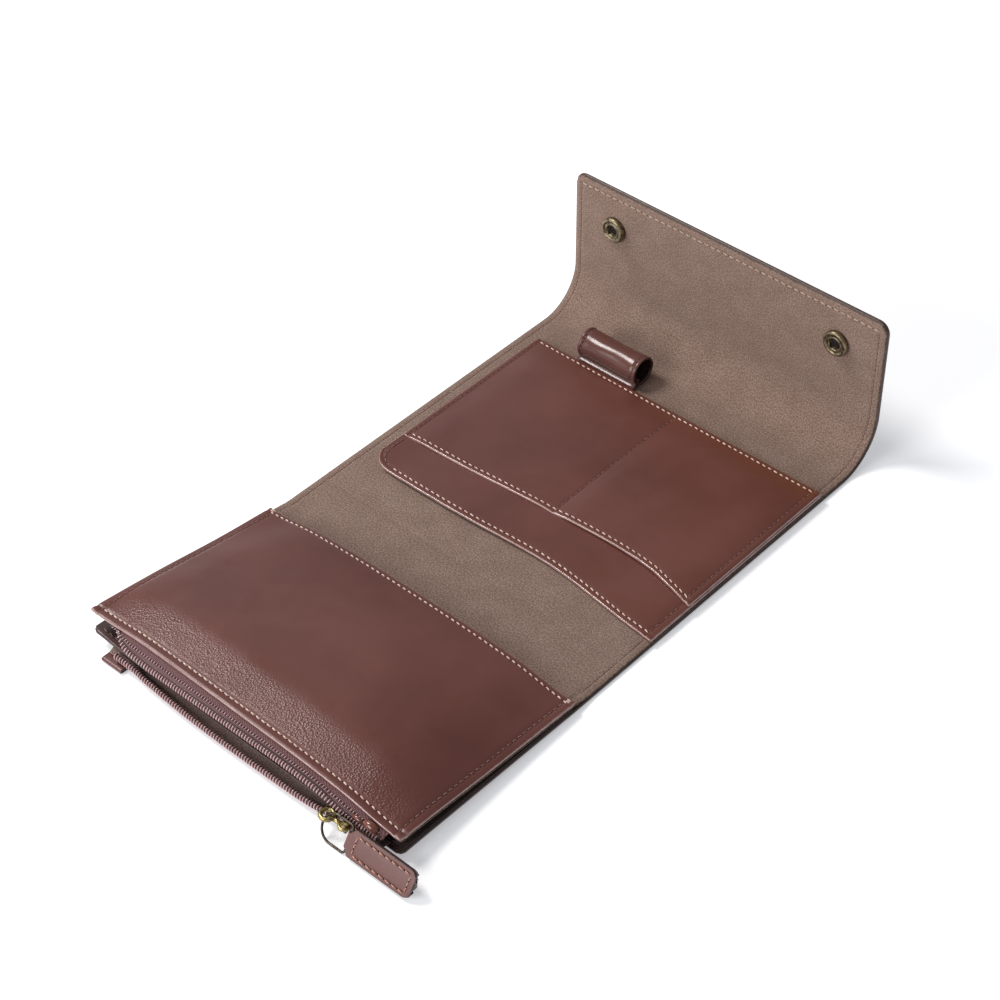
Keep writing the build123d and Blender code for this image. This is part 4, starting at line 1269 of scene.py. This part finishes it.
# (radius, height) profiles
SOCKET = (
    (5.0, 0.0), (5.15, 0.5), (5.2, 1.2), (5.05, 1.75), (4.75, 2.1), (4.4, 2.25), (4.05, 2.2), (3.8, 2.0),
    (3.6, 1.85), (3.2, 1.85), (2.9, 1.95), (2.6, 2.1), (2.5, 2.05), (star(2.35, 0.05), 1.85),
    (star(2.25, 0.09), 1.4), (star(2.2, 0.09), 0.3), (0.01, 0.25),
)
WELL = ((star(2.3, 0.09), 0.0), (star(2.3, 0.09), 0.8), (0.01, 0.85))
CAP = ((6.0, -0.1), (6.05, 0.1), (5.9, 0.35), (5.4, 0.62), (4.2, 0.85), (2.4, 0.98), (0.01, 1.02))
STUD = (
    (4.5, -0.3), (4.6, 0.0), (4.5, 0.3), (3.4, 0.4), (2.2, 0.45), (1.5, 0.6), (1.5, 1.0), (1.75, 1.35), (1.72, 1.6),
    (1.4, 1.85), (0.01, 1.9),
)


def build_snaps():
    face = Y_FLAP + BEND_RADIUS
    stud_y = Y_SPINE_BACK + Y_SPINE_FRONT - (Y_FLAP - 25.0)
    for (x, z), label in zip(SNAPS, ("left", "right")):
        # one piece of each pair stands for the CAD's node, which holds both
        left = label == "left"
        socket = lathe(f"snap_socket_{label}", SOCKET, (x, face, z), (0, -1, 0), SNAP_MAT)
        say(socket, "flap", "antique_brass", *(["snap_sockets"] if left else []))
        # near-black plug in the socket's hole: painted shade
        say(lathe(f"snap_well_{label}", WELL, (x, face, z), (0, -1, 0), HOLE_SHADE_AND_TICK_MAT), "flap")
        # plain notches round the ring's face, near-black as painted shade
        notches = Stitches(f"snap_notches_{label}", HOLE_SHADE_AND_TICK_MAT, "flap")
        for k in [k for k in range(20) if k % 5 < 4]:
            a = 2 * pi * k / 20
            centre = (x + 3.4 * cos(a), face - 1.80, z + 3.4 * sin(a))
            notches.lump(centre, (cos(a), 0, sin(a)), (0, -1, 0), 0.75, 0.28, 0.14, 1, rings=4)
        notches.build("antique_brass")
        cap = lathe(f"snap_cap_{label}", CAP, (x, face + SUEDE + COVER, z), (0, 1, 0), SNAP_MAT)
        say(cap, "flap", "antique_brass", *(["snap_caps"] if left else []))
        low = front_floor(x, stud_y)
        stretch = max(1.0, low / 1.9)
        profile = [(r, h * stretch if h > 0.3 else h) for r, h in STUD]
        stud = lathe(f"snap_stud_{label}", profile, (x, stud_y, low), (0, 0, -1), SNAP_MAT, 48)
        say(stud, "front_panel", "antique_brass", *(["snap_studs"] if left else []))


# ---------------------------------------------------------------- light, floor and camera
LAMPS = (
    ("key", (-0.66, -0.22, 0.92), 0.42, 9.4, (1.0, 0.975, 0.95)),
    ("back", (-0.85, 0.60, 0.70), 0.5, 0.45, (1.0, 0.99, 0.99)),
    ("front", (-0.25, -1.15, 0.50), 0.8, 9.6, (1.0, 0.99, 0.98)),
)
LAMPS_AIM = Vector((0, -0.05, 0))
FLOOR_HALF = 6000


def build_stage():
    mat = new_material("Floor", roughness=0.9, specular=0.1)
    n = Nodes(mat)
    n.colour(n.ramp(n.noise(n.coords, 400, 2, 0.5), (0.3, (0.88, 0.88, 0.90)), (0.7, (0.90, 0.90, 0.915))))
    n.shader.inputs["Emission Color"].default_value = (0.95, 0.97, 1.0, 1.0)
    n.shader.inputs["Emission Strength"].default_value = 0.36
    corners = [(FLOOR_HALF * u, FLOOR_HALF * v, 0) for u, v in ((-1, -1), (1, -1), (1, 1), (-1, 1))]
    make("floor", corners, [(0, 1, 2, 3)], [mat], flat=True)
    scene = bpy.context.scene
    scene.world = bpy.data.worlds.new("Studio")
    scene.world.use_nodes = True
    background = scene.world.node_tree.nodes["Background"]
    background.inputs["Color"].default_value = (0.93, 0.96, 1.0, 1.0)
    background.inputs["Strength"].default_value = 0.27
    for name, place, size, power, colour in LAMPS:
        light = bpy.data.lights.new(name, "AREA")
        light.shape = "DISK"
        light.size = size
        light.energy = power
        light.color = colour
        obj = bpy.data.objects.new(name, light)
        obj.location = place
        obj.rotation_mode = "QUATERNION"
        obj.rotation_quaternion = (LAMPS_AIM - Vector(place)).to_track_quat("-Z", "Y")
        scene.collection.objects.link(obj)
    scene.view_settings.view_transform = "Standard"


def build_camera():
    place = Vector((0.4156, -0.5073, 0.5893))
    target = Vector((-0.01483, -0.03255, 0.0015))
    roll = radians(-0.52)
    back = (place - target).normalized()
    right = Vector((0, 0, 1)).cross(back).normalized()
    up = back.cross(right)
    turn = Matrix((right * cos(roll) + up * sin(roll), up * cos(roll) - right * sin(roll), back)).transposed()
    data = bpy.data.cameras.new("camera")
    data.lens = 87.1
    data.sensor_width = 36.0
    data.clip_start = 0.05
    data.clip_end = 50.0
    camera = bpy.data.objects.new("camera", data)
    camera.matrix_world = Matrix.Translation(place) @ turn.to_4x4()
    bpy.context.scene.collection.objects.link(camera)
    bpy.context.scene.camera = camera


build_camera()
build_stage()
build_leaf()
build_front()
front_stitches()
build_zip()
build_slider()
build_pull()
build_tab()
build_strap()
build_cards()
build_pen_loop()
build_snaps()
